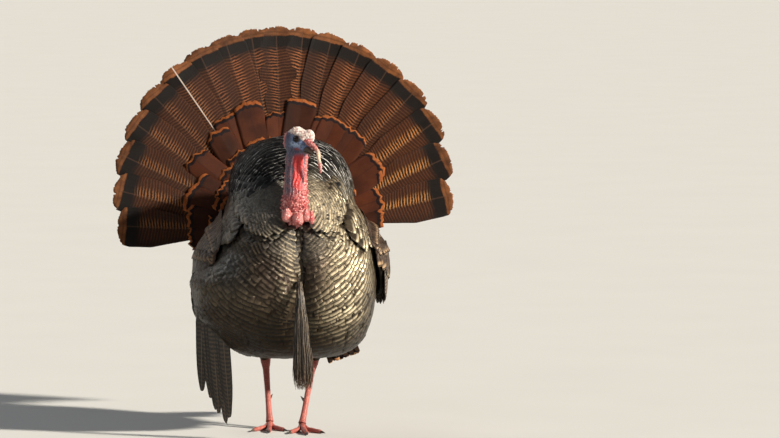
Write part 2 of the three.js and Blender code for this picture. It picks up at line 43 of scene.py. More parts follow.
# Trunk outline from the belly up: height, half-width, breast y, rump y.
TRUNK_STATIONS = np.array([
    [0.166, 0.000, -0.015, -0.015],
    [0.172, 0.108, -0.138, 0.104],
    [0.202, 0.160, -0.212, 0.176],
    [0.250, 0.184, -0.256, 0.216],
    [0.310, 0.195, -0.283, 0.236],
    [0.370, 0.196, -0.290, 0.230],
    [0.430, 0.189, -0.271, 0.211],
    [0.480, 0.171, -0.232, 0.196],
    [0.530, 0.151, -0.178, 0.186],
    [0.580, 0.146, -0.134, 0.170],
    [0.630, 0.124, -0.104, 0.138],
    [0.666, 0.080, -0.058, 0.088],
    [0.683, 0.000, 0.006, 0.006],
])
BREAST_FULLNESS = 2.5  # superellipse exponent of a section's front half
RUMP_FULLNESS = 1.95
FLANK_SWELL = 0.044
CLEFT_DEPTH, CLEFT_WIDTH, CLEFT_LOW, CLEFT_HIGH = 0.015, 0.026, 0.190, 0.520

# Neck: x, y, z, radius.
NECK_LINE = np.array([
    [-0.006, -0.172, 0.470, 0.024],
    [-0.006, -0.190, 0.515, 0.028],
    [-0.005, -0.197, 0.555, 0.026],
    [-0.003, -0.188, 0.600, 0.024],
    [0.000, -0.178, 0.640, 0.024],
    [0.002, -0.172, 0.664, 0.020],
])
NECK_ROOT = np.array([-0.006, -0.190, 0.530])  # the feathers part round the neck here
HEAD_CENTRE = np.array([0.003, -0.181, 0.679])
HEAD_TURN, HEAD_NOD = np.radians(36), np.radians(12)
EYE_RADIUS = 0.0065
EYE_PLACE = np.array([0.0140, 0.010, 0.0050])  # side, forward, up
BILL_ROOT, BILL_LENGTH = 0.030, 0.034
SNOOD_LINE = np.array([
    [0.017, -0.201, 0.680, 0.0060],
    [0.024, -0.210, 0.674, 0.0060],
    [0.034, -0.221, 0.666, 0.0055],
    [0.043, -0.230, 0.654, 0.0042],
    [0.045, -0.234, 0.638, 0.0034],
    [0.048, -0.234, 0.624, 0.0036],
    [0.050, -0.233, 0.606, 0.0024],
])
# Caruncles: x, y, z, radius, half-height.
CARUNCLES = np.array([
    [-0.0265, -0.226, 0.511, 0.0120, 0.0150],
    [-0.0025, -0.240, 0.504, 0.0120, 0.0145],
    [0.0160, -0.238, 0.512, 0.0078, 0.0155],
    [0.0285, -0.231, 0.507, 0.0068, 0.0155],
])
# Beard: x, y, z, half-width, half-depth.
BEARD_LINE = np.array([
    [-0.003, -0.272, 0.364, 0.006, 0.006],
    [-0.003, -0.292, 0.345, 0.007, 0.007],
    [-0.002, -0.302, 0.310, 0.011, 0.008],
    [0.000, -0.301, 0.250, 0.017, 0.009],
    [0.003, -0.294, 0.185, 0.022, 0.010],
    [0.005, -0.288, 0.145, 0.022, 0.009],
    [0.006, -0.284, 0.120, 0.016, 0.006],
])
TAIL_FEATHERS = 18
TAIL_ROOT = np.array([0.0, 0.216, 0.440])
FAN_TILT = np.radians(11)
FAN_SPREAD, FAN_ROLL, FAN_CROWDING = 82.5, -4.8, 0.72
FAN_RADIUS, FAN_RISE = 0.398, 0.092
BAR_PITCH = 0.0070  # between the fan's fine bars
PALE_SHAFT = 5  # the one feather whose shaft is white
FAN_BULGE, BULGE_ANGLE, BULGE_SPREAD = 0.014, 48, 22  # the tips stand out of the circle on one side

# ---- camera -------------------------------------------------------------------------------
PICTURE_WIDTH = 780  # pixels
PIXEL = 0.0023  # metres that one pixel covers at the bird
CAMERA_DISTANCE = 12.0
CAMERA_AZIMUTH, CAMERA_RISE = np.radians(-5.5), np.radians(4.0)
BIRD_LEFT_OF_MIDDLE = 0.2277  # metres from the picture's middle to the bird's origin
PICTURE_MIDDLE_HEIGHT = 0.4865


def place_camera():
    """A long lens, level with the horizon's row, that looks along the azimuth and down by the rise."""
    right = np.array([np.cos(CAMERA_AZIMUTH), np.sin(CAMERA_AZIMUTH), 0.0])
    ahead = np.array([-np.sin(CAMERA_AZIMUTH), np.cos(CAMERA_AZIMUTH), 0.0])
    look = ahead * np.cos(CAMERA_RISE) - np.array([0, 0, np.sin(CAMERA_RISE)])
    aim = right * BIRD_LEFT_OF_MIDDLE + np.array([0, 0, PICTURE_MIDDLE_HEIGHT])
    data = bpy.data.cameras.new("camera")
    data.sensor_width = 36.0
    data.lens = data.sensor_width * CAMERA_DISTANCE / (PICTURE_WIDTH * PIXEL)
    data.clip_end = 500.0
    camera = bpy.data.objects.new("camera", data)
    camera.location = aim - look * CAMERA_DISTANCE
    camera.rotation_euler = Vector(look).to_track_quat("-Z", "Y").to_euler()
    bpy.context.scene.collection.objects.link(camera)
    bpy.context.scene.camera = camera


def place_light(name, place, aim, power, size, colour):
    """A square area lamp at a place, turned towards a point."""
    data = bpy.data.lights.new(name, "AREA")
    data.energy, data.size, data.color = power, size, colour
    lamp = bpy.data.objects.new(name, data)
    lamp.location = place
    lamp.rotation_euler = (Vector(aim) - Vector(place)).to_track_quat("-Z", "Y").to_euler()
    bpy.context.scene.collection.objects.link(lamp)


def place_sun(name, aim, strength, spread, colour):
    """A distant lamp that shines along a direction; its spread in degrees softens the shadows."""
    data = bpy.data.lights.new(name, "SUN")
    data.energy, data.angle, data.color = strength, np.radians(spread), colour
    lamp = bpy.data.objects.new(name, data)
    lamp.rotation_euler = Vector(aim).to_track_quat("-Z", "Y").to_euler()
    bpy.context.scene.collection.objects.link(lamp)


def light_studio():
    """A warm key from the bird's left front, a faint back light, a cool fill and a soft pale sky."""
    world = bpy.data.worlds.new("studio")
    world.use_nodes = True
    sky = world.node_tree.nodes["Background"]
    sky.inputs["Color"].default_value = (0.86, 0.91, 1.0, 1)
    sky.inputs["Strength"].default_value = 0.17
    bpy.context.scene.world = world
    bpy.context.scene.view_settings.view_transform = "Standard"
    place_sun("key", (-0.78, 0.46, -0.46), 7.2, 4, (1.0, 0.92, 0.80))
    place_sun("back_light", (0.5, -0.8, -0.55), 0.6, 30, (1.0, 0.97, 0.92))
    place_light("fill", (-3.2, -3.4, 1.4), (0.0, -0.05, 0.45), 6, 2.4, (0.86, 0.92, 1.0))


# ---- numbers on curves and surfaces -------------------------------------------------------
def along_rows(rows, t, mirrored=()):
    """Catmull-Rom curve through rows at shares t of its length; mirrored columns pass zero at both ends."""
    last = len(rows) - 1
    before, after = 2 * rows[0] - rows[1], 2 * rows[-1] - rows[-2]
    if len(mirrored):
        before, after = rows[1].copy(), rows[-2].copy()
        before[list(mirrored)] *= -1
        after[list(mirrored)] *= -1
    table = np.vstack([before, rows, after])
    at = np.clip(np.asarray(t, float), 0, 1) * last
    k = np.minimum(at.astype(int), last - 1)
    f = (at - k)[..., None]
    a, b, c, d = table[k], table[k + 1], table[k + 2], table[k + 3]
    return b + 0.5 * f * (c - a + f * (2 * a - 5 * b + 4 * c - d + f * (3 * (b - c) + d - a)))


def smooth(value, low, high):
    """0 below low, 1 above high, and an S-curve between them."""
    s = np.clip((np.asarray(value, float) - low) / (high - low), 0, 1)
    return s * s * (3 - 2 * s)


def unit(v):
    """Vectors divided by their own lengths."""
    return v / np.maximum(np.linalg.norm(v, axis=-1, keepdims=True), 1e-12)


def ring_normals(grid):
    """Normal at each point of a grid of closed rings: the cross product of its row and column differences."""
    side = np.roll(grid, -1, axis=1) - np.roll(grid, 1, axis=1)
    ahead = np.gradient(grid, axis=0)
    return unit(np.cross(ahead, side))


def hashed(cells, salt):
    """Three numbers from 0 to 1 for each whole-number cell, the same on every run."""
    x, y, z = (cells[..., i].astype(np.int64) for i in range(3))
    mixed = (x * 73856093) ^ (y * 19349663) ^ (z * 83492791) ^ (salt * 2654435761)
    parts = [((mixed * m + m) >> 7) & 0xFFFF for m in (1103515245, 69069, 1664525)]
    return np.stack(parts, -1) / 65535.0


def pebbles(points, size, salt=1):
    """Cellular bumps: 1 at the middle of each random cell and 0 on the lines half-way between cells."""
    scaled = points / size
    base = np.floor(scaled).astype(int)
    near = np.full(points.shape[:-1], 9.0)
    second = near.copy()
    for dx in (-1, 0, 1):
        for dy in (-1, 0, 1):
            for dz in (-1, 0, 1):
                cell = base + np.array([dx, dy, dz])
                away = np.linalg.norm(cell + hashed(cell, salt) - scaled, axis=-1)
                second = np.minimum(second, np.maximum(near, away))
                near = np.minimum(near, away)
    return np.clip(second - near, 0, 1)


def lumps(points, size, salt=1):
    """Smooth value noise from -1 to 1: random values at cell corners, blended by an S-curve."""
    scaled = points / size
    base = np.floor(scaled).astype(int)
    f = scaled - base
    f = f * f * (3 - 2 * f)
    total = np.zeros(points.shape[:-1])
    for corner in np.ndindex(2, 2, 2):
        weight = np.prod(np.where(np.array(corner) == 1, f, 1 - f), axis=-1)
        total += weight * hashed(base + np.array(corner), salt)[..., 0]
    return 2 * total - 1


# ---- gathering surfaces into one mesh -----------------------------------------------------
class Surfaces:
    """Closed surfaces gathered into one mesh: points, faces of three and four corners, two maps and marks."""

    def __init__(self):
        self.points, self.count = [], 0
        self.quads, self.triangles = [], []
        self.maps = {"Vane": ([], []), "OFBake": ([], [])}
        self.flat, self.marks, self.more = [], [], []
        self.finishes = ([], [])

    def add(self, points, quads, quad_maps, marks=None, flat=None, triangles=None, triangle_maps=None,
            more=None, finish=0):
        """Adds one batch; a map is given as the places of each face's corners."""
        triangles = np.zeros((0, 3), int) if triangles is None else triangles
        if triangle_maps is None:
            triangle_maps = {name: np.zeros((len(triangles), 3, 2)) for name in self.maps}
        self.quads.append(quads + self.count)
        self.triangles.append(triangles + self.count)
        self.points.append(points)
        self.count += len(points)
        self.finishes[0].append(np.full(len(quads), finish))
        self.finishes[1].append(np.full(len(triangles), finish))
        self.flat.append(np.zeros(len(quads), bool) if flat is None else flat)
        self.marks.append(np.zeros((len(points), 4)) if marks is None else marks)
        self.more.append(np.zeros((len(points), 4)) if more is None else more)
        for name, (of_quads, of_triangles) in self.maps.items():
            of_quads.append(quad_maps[name])
            of_triangles.append(triangle_maps[name])

    def build(self, name, materials, replaces=()):
        """The mesh as one piece that rides on the bird and stands for the named nodes."""
        points = np.concatenate(self.points)
        quads, triangles = np.concatenate(self.quads), np.concatenate(self.triangles)
        corners = np.concatenate([quads.ravel(), triangles.ravel()])
        sizes = np.concatenate([np.full(len(quads), 4), np.full(len(triangles), 3)])
        mesh = bpy.data.meshes.new(name)
        mesh.vertices.add(len(points))
        mesh.vertices.foreach_set("co", points.astype(np.float32).ravel())
        mesh.loops.add(len(corners))
        mesh.loops.foreach_set("vertex_index", corners.astype(np.int32))
        mesh.polygons.add(len(sizes))
        mesh.polygons.foreach_set("loop_start", (np.cumsum(sizes) - sizes).astype(np.int32))
        flat = np.concatenate([np.concatenate(self.flat), np.zeros(len(triangles), bool)])
        mesh.polygons.foreach_set("use_smooth", ~flat)
        for map_name, (of_quads, of_triangles) in self.maps.items():
            places = [np.concatenate(of_quads).reshape(-1, 2), np.concatenate(of_triangles).reshape(-1, 2)]
            layer = mesh.uv_layers.new(name=map_name)
            layer.data.foreach_set("uv", np.concatenate(places).astype(np.float32).ravel())
        for mark_name, values in (("marks", self.marks), ("more", self.more)):
            layer = mesh.attributes.new(mark_name, "FLOAT_COLOR", "POINT")
            layer.data.foreach_set("color", np.concatenate(values).astype(np.float32).ravel())
        for material in materials:
            mesh.materials.append(material)
        used = np.concatenate(self.finishes[0] + self.finishes[1])
        mesh.polygons.foreach_set("material_index", used.astype(np.int32))
        mesh.update()
        mesh.validate()
        piece = bpy.data.objects.new(name, mesh)
        bpy.context.scene.collection.objects.link(piece)
        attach(piece, "root")
        if replaces:
            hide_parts(*replaces)
        return piece

    def add_shell(self, grid, bake_box, marks=None, more=None, outward=1, finish=0):
        """A closed surface from rows of points round an axis, with a middle point to close each end.

        The map is the row and column shares, laid in bake_box = (u0, v0, u1, v1)."""
        rows, cols = grid.shape[:2]
        ends = np.stack([grid[0].mean(0), grid[-1].mean(0)])
        points = np.concatenate([grid.reshape(-1, 3), ends])
        i, j = np.meshgrid(np.arange(rows - 1), np.arange(cols), indexing="ij")
        i, j = i.ravel(), j.ravel()
        after = (j + 1) % cols
        quads = np.stack([i * cols + j, i * cols + after, (i + 1) * cols + after, (i + 1) * cols + j], 1)
        u = np.stack([j, j + 1, j + 1, j], 1) / cols
        v = np.stack([i, i, i + 1, i + 1], 1) / (rows - 1)
        k = np.arange(cols)
        after_k = (k + 1) % cols
        first = np.stack([after_k, k, np.full(cols, rows * cols)], 1)
        last_row = (rows - 1) * cols
        last = np.stack([last_row + k, last_row + after_k, np.full(cols, rows * cols + 1)], 1)
        end_u = np.stack([k + 1, k, k + 0.5], 1) / cols
        tri_u = np.concatenate([end_u, end_u[:, [1, 0, 2]]])
        tri_v = np.concatenate([np.zeros((cols, 3)), np.ones((cols, 3))])
        triangles = np.concatenate([first, last])
        if outward < 0:
            quads, u, v = quads[:, ::-1], u[:, ::-1], v[:, ::-1]
            triangles, tri_u, tri_v = triangles[:, ::-1], tri_u[:, ::-1], tri_v[:, ::-1]

        def laid(us, vs):
            low, size = np.array(bake_box[:2]), np.array(bake_box[2:]) - np.array(bake_box[:2])
            return np.stack([us, vs], -1) * size + low

        def with_ends(values):
            if values is None:
                return None
            flat_values = values.reshape(-1, 4)
            return np.concatenate([flat_values, values[0].mean(0)[None], values[-1].mean(0)[None]])

        quad_maps = {"Vane": np.stack([u, v], -1), "OFBake": laid(u, v)}
        tri_maps = {"Vane": np.stack([tri_u, tri_v], -1), "OFBake": laid(tri_u, tri_v)}
        self.add(points, quads, quad_maps, with_ends(marks), triangles=triangles, triangle_maps=tri_maps,
                 more=with_ends(more), finish=finish)


def tube_grid(rows, t, cols, across=(1.0, 0.0, 0.0)):
    """Oval sections square to a path: centre + width cos(a) across it + depth sin(a) through it."""
    at = along_rows(rows, t)
    step = 0.01
    ends = [along_rows(rows, np.clip(t + move, 0, 1))[:, :3] for move in (-step, step)]
    ahead = unit(ends[1] - ends[0])
    deep = unit(np.cross(ahead, np.array(across)))
    wide = np.cross(deep, ahead)
    angle = 2 * np.pi * np.arange(cols) / cols
    depth = at[:, 4] if rows.shape[1] > 4 else at[:, 3]
    grid = at[:, None, :3] + at[:, 3, None, None] * np.cos(angle)[None, :, None] * wide[:, None]
    return grid + depth[:, None, None] * np.sin(angle)[None, :, None] * deep[:, None]


# ---- trunk surface ------------------------------------------------------------------------
_shares = np.linspace(0, 1, 900)
_table = along_rows(TRUNK_STATIONS, _shares, (1,))


def trunk_section(z):
    """Half-width, breast y and rump y of the trunk at a height, read along the stations' curve."""
    return [np.interp(z, _table[:, 0], _table[:, c]) for c in (1, 2, 3)]


def cleft(x, z):
    """How far the groove between the breast lobes goes in: a Gaussian across x that fades out in height."""
    fade = np.sin(np.pi * np.clip((z - CLEFT_LOW) / (CLEFT_HIGH - CLEFT_LOW), 0, 1))
    return CLEFT_DEPTH * np.sqrt(fade) * np.exp(-((x / CLEFT_WIDTH) ** 2))


def flank_swell(points):
    """How far the right flank's plumage stands over the folded wing: a smooth hill in y and z."""
    x, y, z = points[..., 0], points[..., 1], points[..., 2]
    rise = smooth(z, 0.205, 0.285) * (1 - smooth(z, 0.350, 0.430))
    return FLANK_SWELL * rise * (1 - smooth(y, -0.060, 0.010)) * (x < 0)


def outside_coat(p):
    """Negative inside the trunk with its fluffed flank: |x/w|^n + |y/l|^n - 1, where n is fuller in front."""
    x, y, z = p[..., 0], p[..., 1], p[..., 2]
    half, front, back = trunk_section(z)
    half = half + flank_swell(p)
    middle = (front + back) / 2
    y = np.where(y < middle, np.minimum(y - cleft(x, z), middle), y)
    ahead = y < middle
    reach = np.where(ahead, middle - front, back - middle)
    n = np.where(ahead, BREAST_FULLNESS, RUMP_FULLNESS)
    inside_height = (z > TRUNK_STATIONS[0, 0]) & (z < TRUNK_STATIONS[-1, 0])
    across = np.abs(x / np.maximum(half, 1e-4)) ** n + np.abs((y - middle) / np.maximum(reach, 1e-4)) ** n
    return np.where(inside_height, across - 1, 1.0)


def shot(centre, ways, outside, far):
    """Where rays from a centre leave a shape, by halving the span 40 times."""
    low, high = np.zeros(ways.shape[:-1]), np.full(ways.shape[:-1], far)
    for _ in range(40):
        middle = (low + high) / 2
        out = outside(centre + ways * middle[..., None]) > 0
        high, low = np.where(out, middle, high), np.where(out, low, middle)
    return centre + ways * low[..., None]


# Rows of feathers lie on circles round the neck's root: beta is the angle from it at the body's
# middle and alpha the angle round it, 0 over the back and pi down the breast.
BODY_MIDDLE = np.array([0.0, 0.0, 0.440])
_pole = unit(NECK_ROOT - BODY_MIDDLE)
_up = unit(np.array([0, 0, 1.0]) - _pole * _pole[2])
_left = np.cross(_up, _pole)


def on_trunk(alpha, beta):
    """Point of the trunk's outline at angles round and from the neck's root."""
    turn = np.cos(alpha)[..., None] * _up + np.sin(alpha)[..., None] * _left
    ways = np.cos(beta)[..., None] * _pole + np.sin(beta)[..., None] * turn
    return shot(BODY_MIDDLE, ways, outside_coat, 0.6)


# ---- feathers -----------------------------------------------------------------------------
def vane_points(root, lie, normal, length, width, u, v, shape, lift, bend, camber, ragged, seed):
    """Points of many vanes at once, on a grid of u across (-1 to 1) and v along (0 to 1).

    along = length (v - round |u|^3 v^2), across = width/2 * profile(v) * u, and height =
    lift * along - along^2 / (2 bend) - camber * |across| * |u|. profile widens from the quill over the
    share `base` and narrows by `narrow` at the tip. The last rows are frayed by a seeded wobble."""
    rng = np.random.default_rng(seed)
    count = len(root)
    side = np.cross(lie, normal)
    grow = smooth(v, -0.05, shape["base"]) * (1 - shape["quill"]) + shape["quill"]
    profile = grow * (1 - shape["narrow"] * v ** shape["taper"])
    fray = rng.normal(0, 1, (count, 1, len(u))) * ragged * smooth(v, 0.72, 1.0)[None, :, None]
    rounded = shape["round"] * np.abs(u[None, None, :]) ** 3 * (v ** 2)[None, :, None]
    along = length[:, None, None] * (v[None, :, None] - rounded) + fray
    across = width[:, None, None] / 2 * profile[None, :, None] * u[None, None, :]
    height = lift[:, None, None] * along - along ** 2 / (2 * bend[:, None, None])
    height = height - camber * np.abs(across) * np.abs(u)[None, None, :]
    points = root[:, None, None, :] + along[..., None] * lie[:, None, None, :]
    points = points + across[..., None] * side[:, None, None, :]
    return points + height[..., None] * normal[:, None, None, :]


MANTLE = {"base": 0.42, "quill": 0.16, "narrow": 0.08, "taper": 5.0, "round": 0.09}
BROAD = {"base": 0.60, "quill": 0.20, "narrow": 0.05, "taper": 9.0, "round": 0.035}
CONTOUR = {"base": 0.42, "quill": 0.16, "narrow": 0.06, "taper": 5.0, "round": 0.075}
COVERT = {"base": 0.50, "quill": 0.20, "narrow": 0.12, "taper": 6.0, "round": 0.10}
FLIGHT = {"base": 0.25, "quill": 0.30, "narrow": 0.45, "taper": 5.0, "round": 0.10}


def sheet_faces(rows, across):
    """Faces of an upper and a lower grid and the rim that joins them, and which of them are the rim."""
    per = rows * across
    i, j = np.meshgrid(np.arange(rows - 1), np.arange(across - 1), indexing="ij")
    a = (i * across + j).ravel()
    upper = np.stack([a, a + 1, a + across + 1, a + across], 1)
    lower = upper[:, ::-1] + per
    edge = np.concatenate([
        np.arange(across), np.arange(1, rows) * across + across - 1,
        (rows - 1) * across + np.arange(across - 2, -1, -1), np.arange(rows - 2, 0, -1) * across])
    ahead = np.roll(edge, -1)
    rim = np.stack([edge, edge + per, ahead + per, ahead], 1)
    faces = np.concatenate([lower, rim, upper])
    is_rim = np.repeat([False, True, False], [len(lower), len(rim), len(upper)])
    return faces, is_rim


def add_feathers(surfaces, root, lie, normal, length, width, marks, patch, *, shape=CONTOUR, across=5,
                 rows=7, lift=0.18, bend=0.3, camber=0.25, thick=0.0004, ragged=0.0, seed=1, twist=0.06,
                 more=None):
    """Thin two-sided vanes: an upper and a lower grid `thick` apart with a rim between them.

    patch = (u, v, du, dv, turn) is the place, size and turn of each vane's patch on the unwrapped skin."""
    rng = np.random.default_rng(seed)
    count = len(root)
    yaw = rng.normal(0, twist, count)[:, None]
    roll = rng.normal(0, twist, count)[:, None]
    side = np.cross(lie, normal)
    lie = unit(lie + side * yaw)
    normal = unit(normal + np.cross(lie, normal) * roll)
    normal = unit(normal - lie * np.sum(lie * normal, -1, keepdims=True))
    u = np.linspace(-1, 1, across)
    v = np.linspace(0, 1, rows) ** 0.9
    each = [np.broadcast_to(np.asarray(value, float), (count,)) for value in (length, width, lift, bend)]
    length, width, lift, bend = each
    top = vane_points(root, lie, normal, length, width, u, v, shape, lift, bend, camber, ragged, seed + 7)
    bottom = top - normal[:, None, None, :] * thick
    per = rows * across
    points = np.concatenate([top.reshape(count, per, 3), bottom.reshape(count, per, 3)], 1)
    faces, flat = sheet_faces(rows, across)
    vane = np.stack(np.meshgrid((u + 1) / 2, v), -1).reshape(per, 2)
    vane = np.concatenate([vane, vane])
    quads = (faces[None] + (np.arange(count) * 2 * per)[:, None, None]).reshape(-1, 4)
    vane_map = np.tile(vane[faces], (count, 1, 1, 1)).reshape(-1, 4, 2)
    pu, pv, du, dv, turn = (np.broadcast_to(np.asarray(value, float), (count,))[:, None] for value in patch)
    a, b = (vane[None, :, 0] - 0.5) * du, (vane[None, :, 1] - 0.5) * dv
    cos, sin = np.cos(turn), np.sin(turn)
    bake = np.stack([pu + a * cos + b * sin, pv - a * sin + b * cos], -1)
    bake_map = bake[:, faces].reshape(-1, 4, 2)
    marks = np.repeat(marks[:, None], 2 * per, axis=1).reshape(-1, 4)
    more = None if more is None else np.repeat(more[:, None], 2 * per, axis=1).reshape(-1, 4)
    maps = {"Vane": vane_map, "OFBake": bake_map}
    surfaces.add(points.reshape(-1, 3), quads, maps, marks, np.tile(flat, count), more=more)


# ---- bare skin ----------------------------------------------------------------------------
def head_axes():
    """Left, forward and crown directions of the turned and nodding head."""
    cos, sin = np.cos(HEAD_TURN), np.sin(HEAD_TURN)
    turn = np.array([[cos, -sin, 0], [sin, cos, 0], [0, 0, 1]])
    cos, sin = np.cos(HEAD_NOD), np.sin(HEAD_NOD)
    nod = np.array([[1, 0, 0], [0, cos, -sin], [0, sin, cos]])
    head = turn @ nod
    return head[:, 0], -head[:, 1], head[:, 2]


HEAD_LEFT, HEAD_AHEAD, HEAD_CROWN = head_axes()


def on_head(side, ahead, up):
    """Places measured from the head's centre, brought into the bird's frame."""
    side, ahead, up = (np.asarray(value, float)[..., None] for value in (side, ahead, up))
    return HEAD_CENTRE + side * HEAD_LEFT + ahead * HEAD_AHEAD + up * HEAD_CROWN


def in_head(points):
    """The same places back as side, forward and up."""
    away = points - HEAD_CENTRE
    return np.stack([away @ HEAD_LEFT, away @ HEAD_AHEAD, away @ HEAD_CROWN], -1)


# Rounded masses of the head: side, forward, up, then their half-sizes.
HEAD_MASSES = np.array([
    [0.0000, -0.0020, -0.0010, 0.0185, 0.0300, 0.0230],
    [-0.0010, -0.0020, 0.0125, 0.0150, 0.0200, 0.0165],
    [0.0090, 0.0230, 0.0125, 0.0125, 0.0140, 0.0165],
    [0.0040, 0.0120, 0.0100, 0.0140, 0.0160, 0.0150],
    [0.0000, 0.0180, -0.0100, 0.0120, 0.0170, 0.0140],
    [0.0000, 0.0050, -0.0190, 0.0135, 0.0220, 0.0135],
    [0.0000, 0.0270, -0.0150, 0.0085, 0.0090, 0.0085],
    [-0.0060, -0.0220, -0.0060, 0.0135, 0.0125, 0.0220],
])
BLEND = 0.0055


def blended(a, b, k=BLEND):
    """The smaller of two distances, rounded off where they meet within k."""
    h = np.clip(0.5 + 0.5 * (b - a) / k, 0, 1)
    return b + (a - b) * h - k * h * (1 - h)


def head_distance(points):
    """Signed distance to the head and neck: blended ovals and a tube of changing radius."""
    local = in_head(points)
    result = None
    for mass in HEAD_MASSES:
        q = (local - mass[:3]) / mass[3:]
        far = np.linalg.norm(q, axis=-1)
        steep = np.linalg.norm(q / mass[3:], axis=-1)
        distance = far * (far - 1) / np.maximum(steep, 1e-9)
        result = distance if result is None else blended(result, distance)
    line = along_rows(NECK_LINE, np.linspace(0, 1, 30))
    away = np.linalg.norm(points[..., None, :] - line[:, :3], axis=-1) - line[:, 3]
    return blended(result, away.min(-1), 0.012)


def head_and_neck():
    """Rays from a line up the neck, then out of the head's middle, each ended where it leaves the shape."""
    rows, cols = 240, 220
    share = np.linspace(0, 1, rows)
    neck_part = 0.50
    s = np.clip(share / neck_part, 0, 1)
    line = along_rows(NECK_LINE, s * 0.93)[:, :3]
    join = smooth(share, neck_part * 0.8, neck_part)[:, None]
    centre = line * (1 - join) + (HEAD_CENTRE + HEAD_AHEAD * 0.002) * join
    up = np.clip((share - neck_part) / (1 - neck_part), 0, 1)
    rise = np.radians(np.where(share < neck_part, -8 - 47 * smooth(s, 0.35, 1.0), -55 + 144 * up))
    angle = 2 * np.pi * np.arange(cols) / cols
    level = np.stack([np.sin(angle), -np.cos(angle), 0 * angle], -1)
    ways = np.cos(rise)[:, None, None] * level[None] + np.sin(rise)[:, None, None] * np.array([0, 0, 1.0])
    ends = shot(centre[:, None, :], ways, head_distance, 0.075)
    normal = ring_normals(ends)
    normal *= np.sign(np.sum(normal * (ends - centre[:, None]), -1, keepdims=True))
    return ends, normal


def bare_detail(ends, normal):
    """Warts on the crown, lids, folds down the neck and lumps at its root, moved along the normal.

    marks: crown, face, throat, nape or lumps; more: dark ring round the eye, cheek, pale patch, gape."""
    local = in_head(ends)
    ahead, up = local[..., 1], local[..., 2]
    z = ends[..., 2]
    axis = along_rows(NECK_LINE, np.linspace(0, 1, 200))
    axis_x, axis_y = (np.interp(z, axis[:, 2], axis[:, c]) for c in (0, 1))
    head = smooth(z, 0.640, 0.655)
    forehead = np.clip(ahead - 0.006, 0, 0.022)
    crown = smooth(up + 0.42 * forehead + 0.002 * lumps(ends, 0.008, 2), 0.0105, 0.0140)
    crown = crown * smooth(ahead, -0.034, -0.020)
    oblique = 0.72 * (ends[..., 1] - axis_y) - 0.70 * (ends[..., 0] - axis_x)
    nape = smooth(oblique, 0.0120, 0.0175) * (1 - head) + smooth(-ahead, 0.018, 0.026) * head
    nape *= 1 - crown
    across = (ends[..., 0] - axis_x) / 0.024 + 0.12 * lumps(ends, 0.012, 12)
    low = 1 - smooth(z + 0.020 * smooth(-across, -0.3, 0.6), 0.560, 0.592)
    at_front = smooth(axis_y - ends[..., 1], 0, 0.004)
    throat = (1 - head) * smooth(across, -0.42, -0.22) * (1 - smooth(across, 0.46, 0.58)) * at_front
    throat *= smooth(z + 0.006 * lumps(ends, 0.010, 14), 0.560, 0.584)
    rim = (1 - head) * smooth(across, 0.60, 0.72)
    away = np.stack([local - EYE_PLACE * np.array([sign, 1, 1]) for sign in (-1, 1)])
    on_side = np.stack([local[..., 0] * sign > 0.004 for sign in (-1, 1)])
    ring = np.where(on_side, np.linalg.norm(away[..., 1:] * np.array([0.92, 1.08]), axis=-1), 1.0).min(0)
    near_eye = 1 - smooth(ring, 0.0075, 0.0125)
    lid = np.exp(-(((ring - 0.0064) / 0.0012) ** 2))
    dark_ring = 1 - smooth(ring, 0.0076, 0.0098)
    fold = np.exp(-(((ring - 0.0092) / 0.0010) ** 2))
    socket = 1 - smooth(ring, 0.0044, 0.0054)
    gape = np.exp(-((ahead - 0.017) / 0.006) ** 2 - ((up + 0.017) / 0.0028) ** 2)
    pale = np.exp(-((ahead - 0.010) / 0.014) ** 2 - ((up + 0.0075) / 0.0062) ** 2) * head
    cheek = smooth(-up, 0.014, 0.019) * head
    behind = smooth(-ahead, 0.000, 0.012) * head
    warts = pebbles(ends, 0.0052, 3) * 0.0022 + lumps(ends, 0.011, 4) * 0.0016
    move = crown * warts * (1 - near_eye)
    warty = 0.0004 * lumps(ends, 0.003, 8) + nape * pebbles(ends, 0.0066, 9) * 0.0050
    move += (1 - crown) * (1 - near_eye) * warty
    move += (1 - head) * low * (pebbles(ends, 0.0088, 5) * 0.0068 + pebbles(ends, 0.0046, 6) * 0.0020)
    move += rim * (1 - low) * pebbles(ends, 0.0060, 15) * 0.0030
    round_neck = np.arctan2(ends[..., 0] - axis_x, axis_y - ends[..., 1])
    folds = np.sin(round_neck * 18 + lumps(ends, 0.02, 7) * 3.5)
    move += (1 - head) * (1 - low) * (1 - nape) * (0.0006 * folds + 0.0013 * pebbles(ends, 0.0042, 13))
    move += 0.0013 * lid - 0.0006 * fold - 0.0075 * socket - 0.0010 * gape * (1 - crown)
    face = head * (1 - crown) * (1 - nape)
    marks = np.stack([crown, face, throat, np.clip(nape + low * (1 - head) + rim, 0, 1)], -1)
    more = np.stack([dark_ring, np.maximum(cheek, 0.8 * behind), pale, gape * head], -1)
    return ends + normal * move[..., None], marks, more


def shaded(grid, marks, more=(0, 0, 0, 0)):
    """The same four marks and four more for every point of a grid."""
    flat = np.zeros(grid.shape[:2] + (4,))
    return flat + np.array(marks, float), flat + np.array(more, float)


def snood_grid():
    """A hanging fold: the snood's path with a rounded end and rings of wrinkles round it."""
    share = np.linspace(0, 1, 120)
    grid = tube_grid(SNOOD_LINE, share, 32)
    centre = grid.mean(1, keepdims=True)
    round_end = np.sqrt(np.clip(1 - ((share - 0.88) / 0.125).clip(0) ** 2, 0.003, 1))
    round_end = round_end * np.sqrt(smooth(share, -0.05, 0.08))
    wrinkle = 1 + 0.10 * np.sin(share * 95 + 2.0 * np.sin(share * 21))
    grid = centre + (grid - centre) * (round_end * wrinkle)[:, None, None]
    out = unit(grid - centre)
    return grid + out * (pebbles(grid, 0.0042, 21) * 0.0018)[..., None]


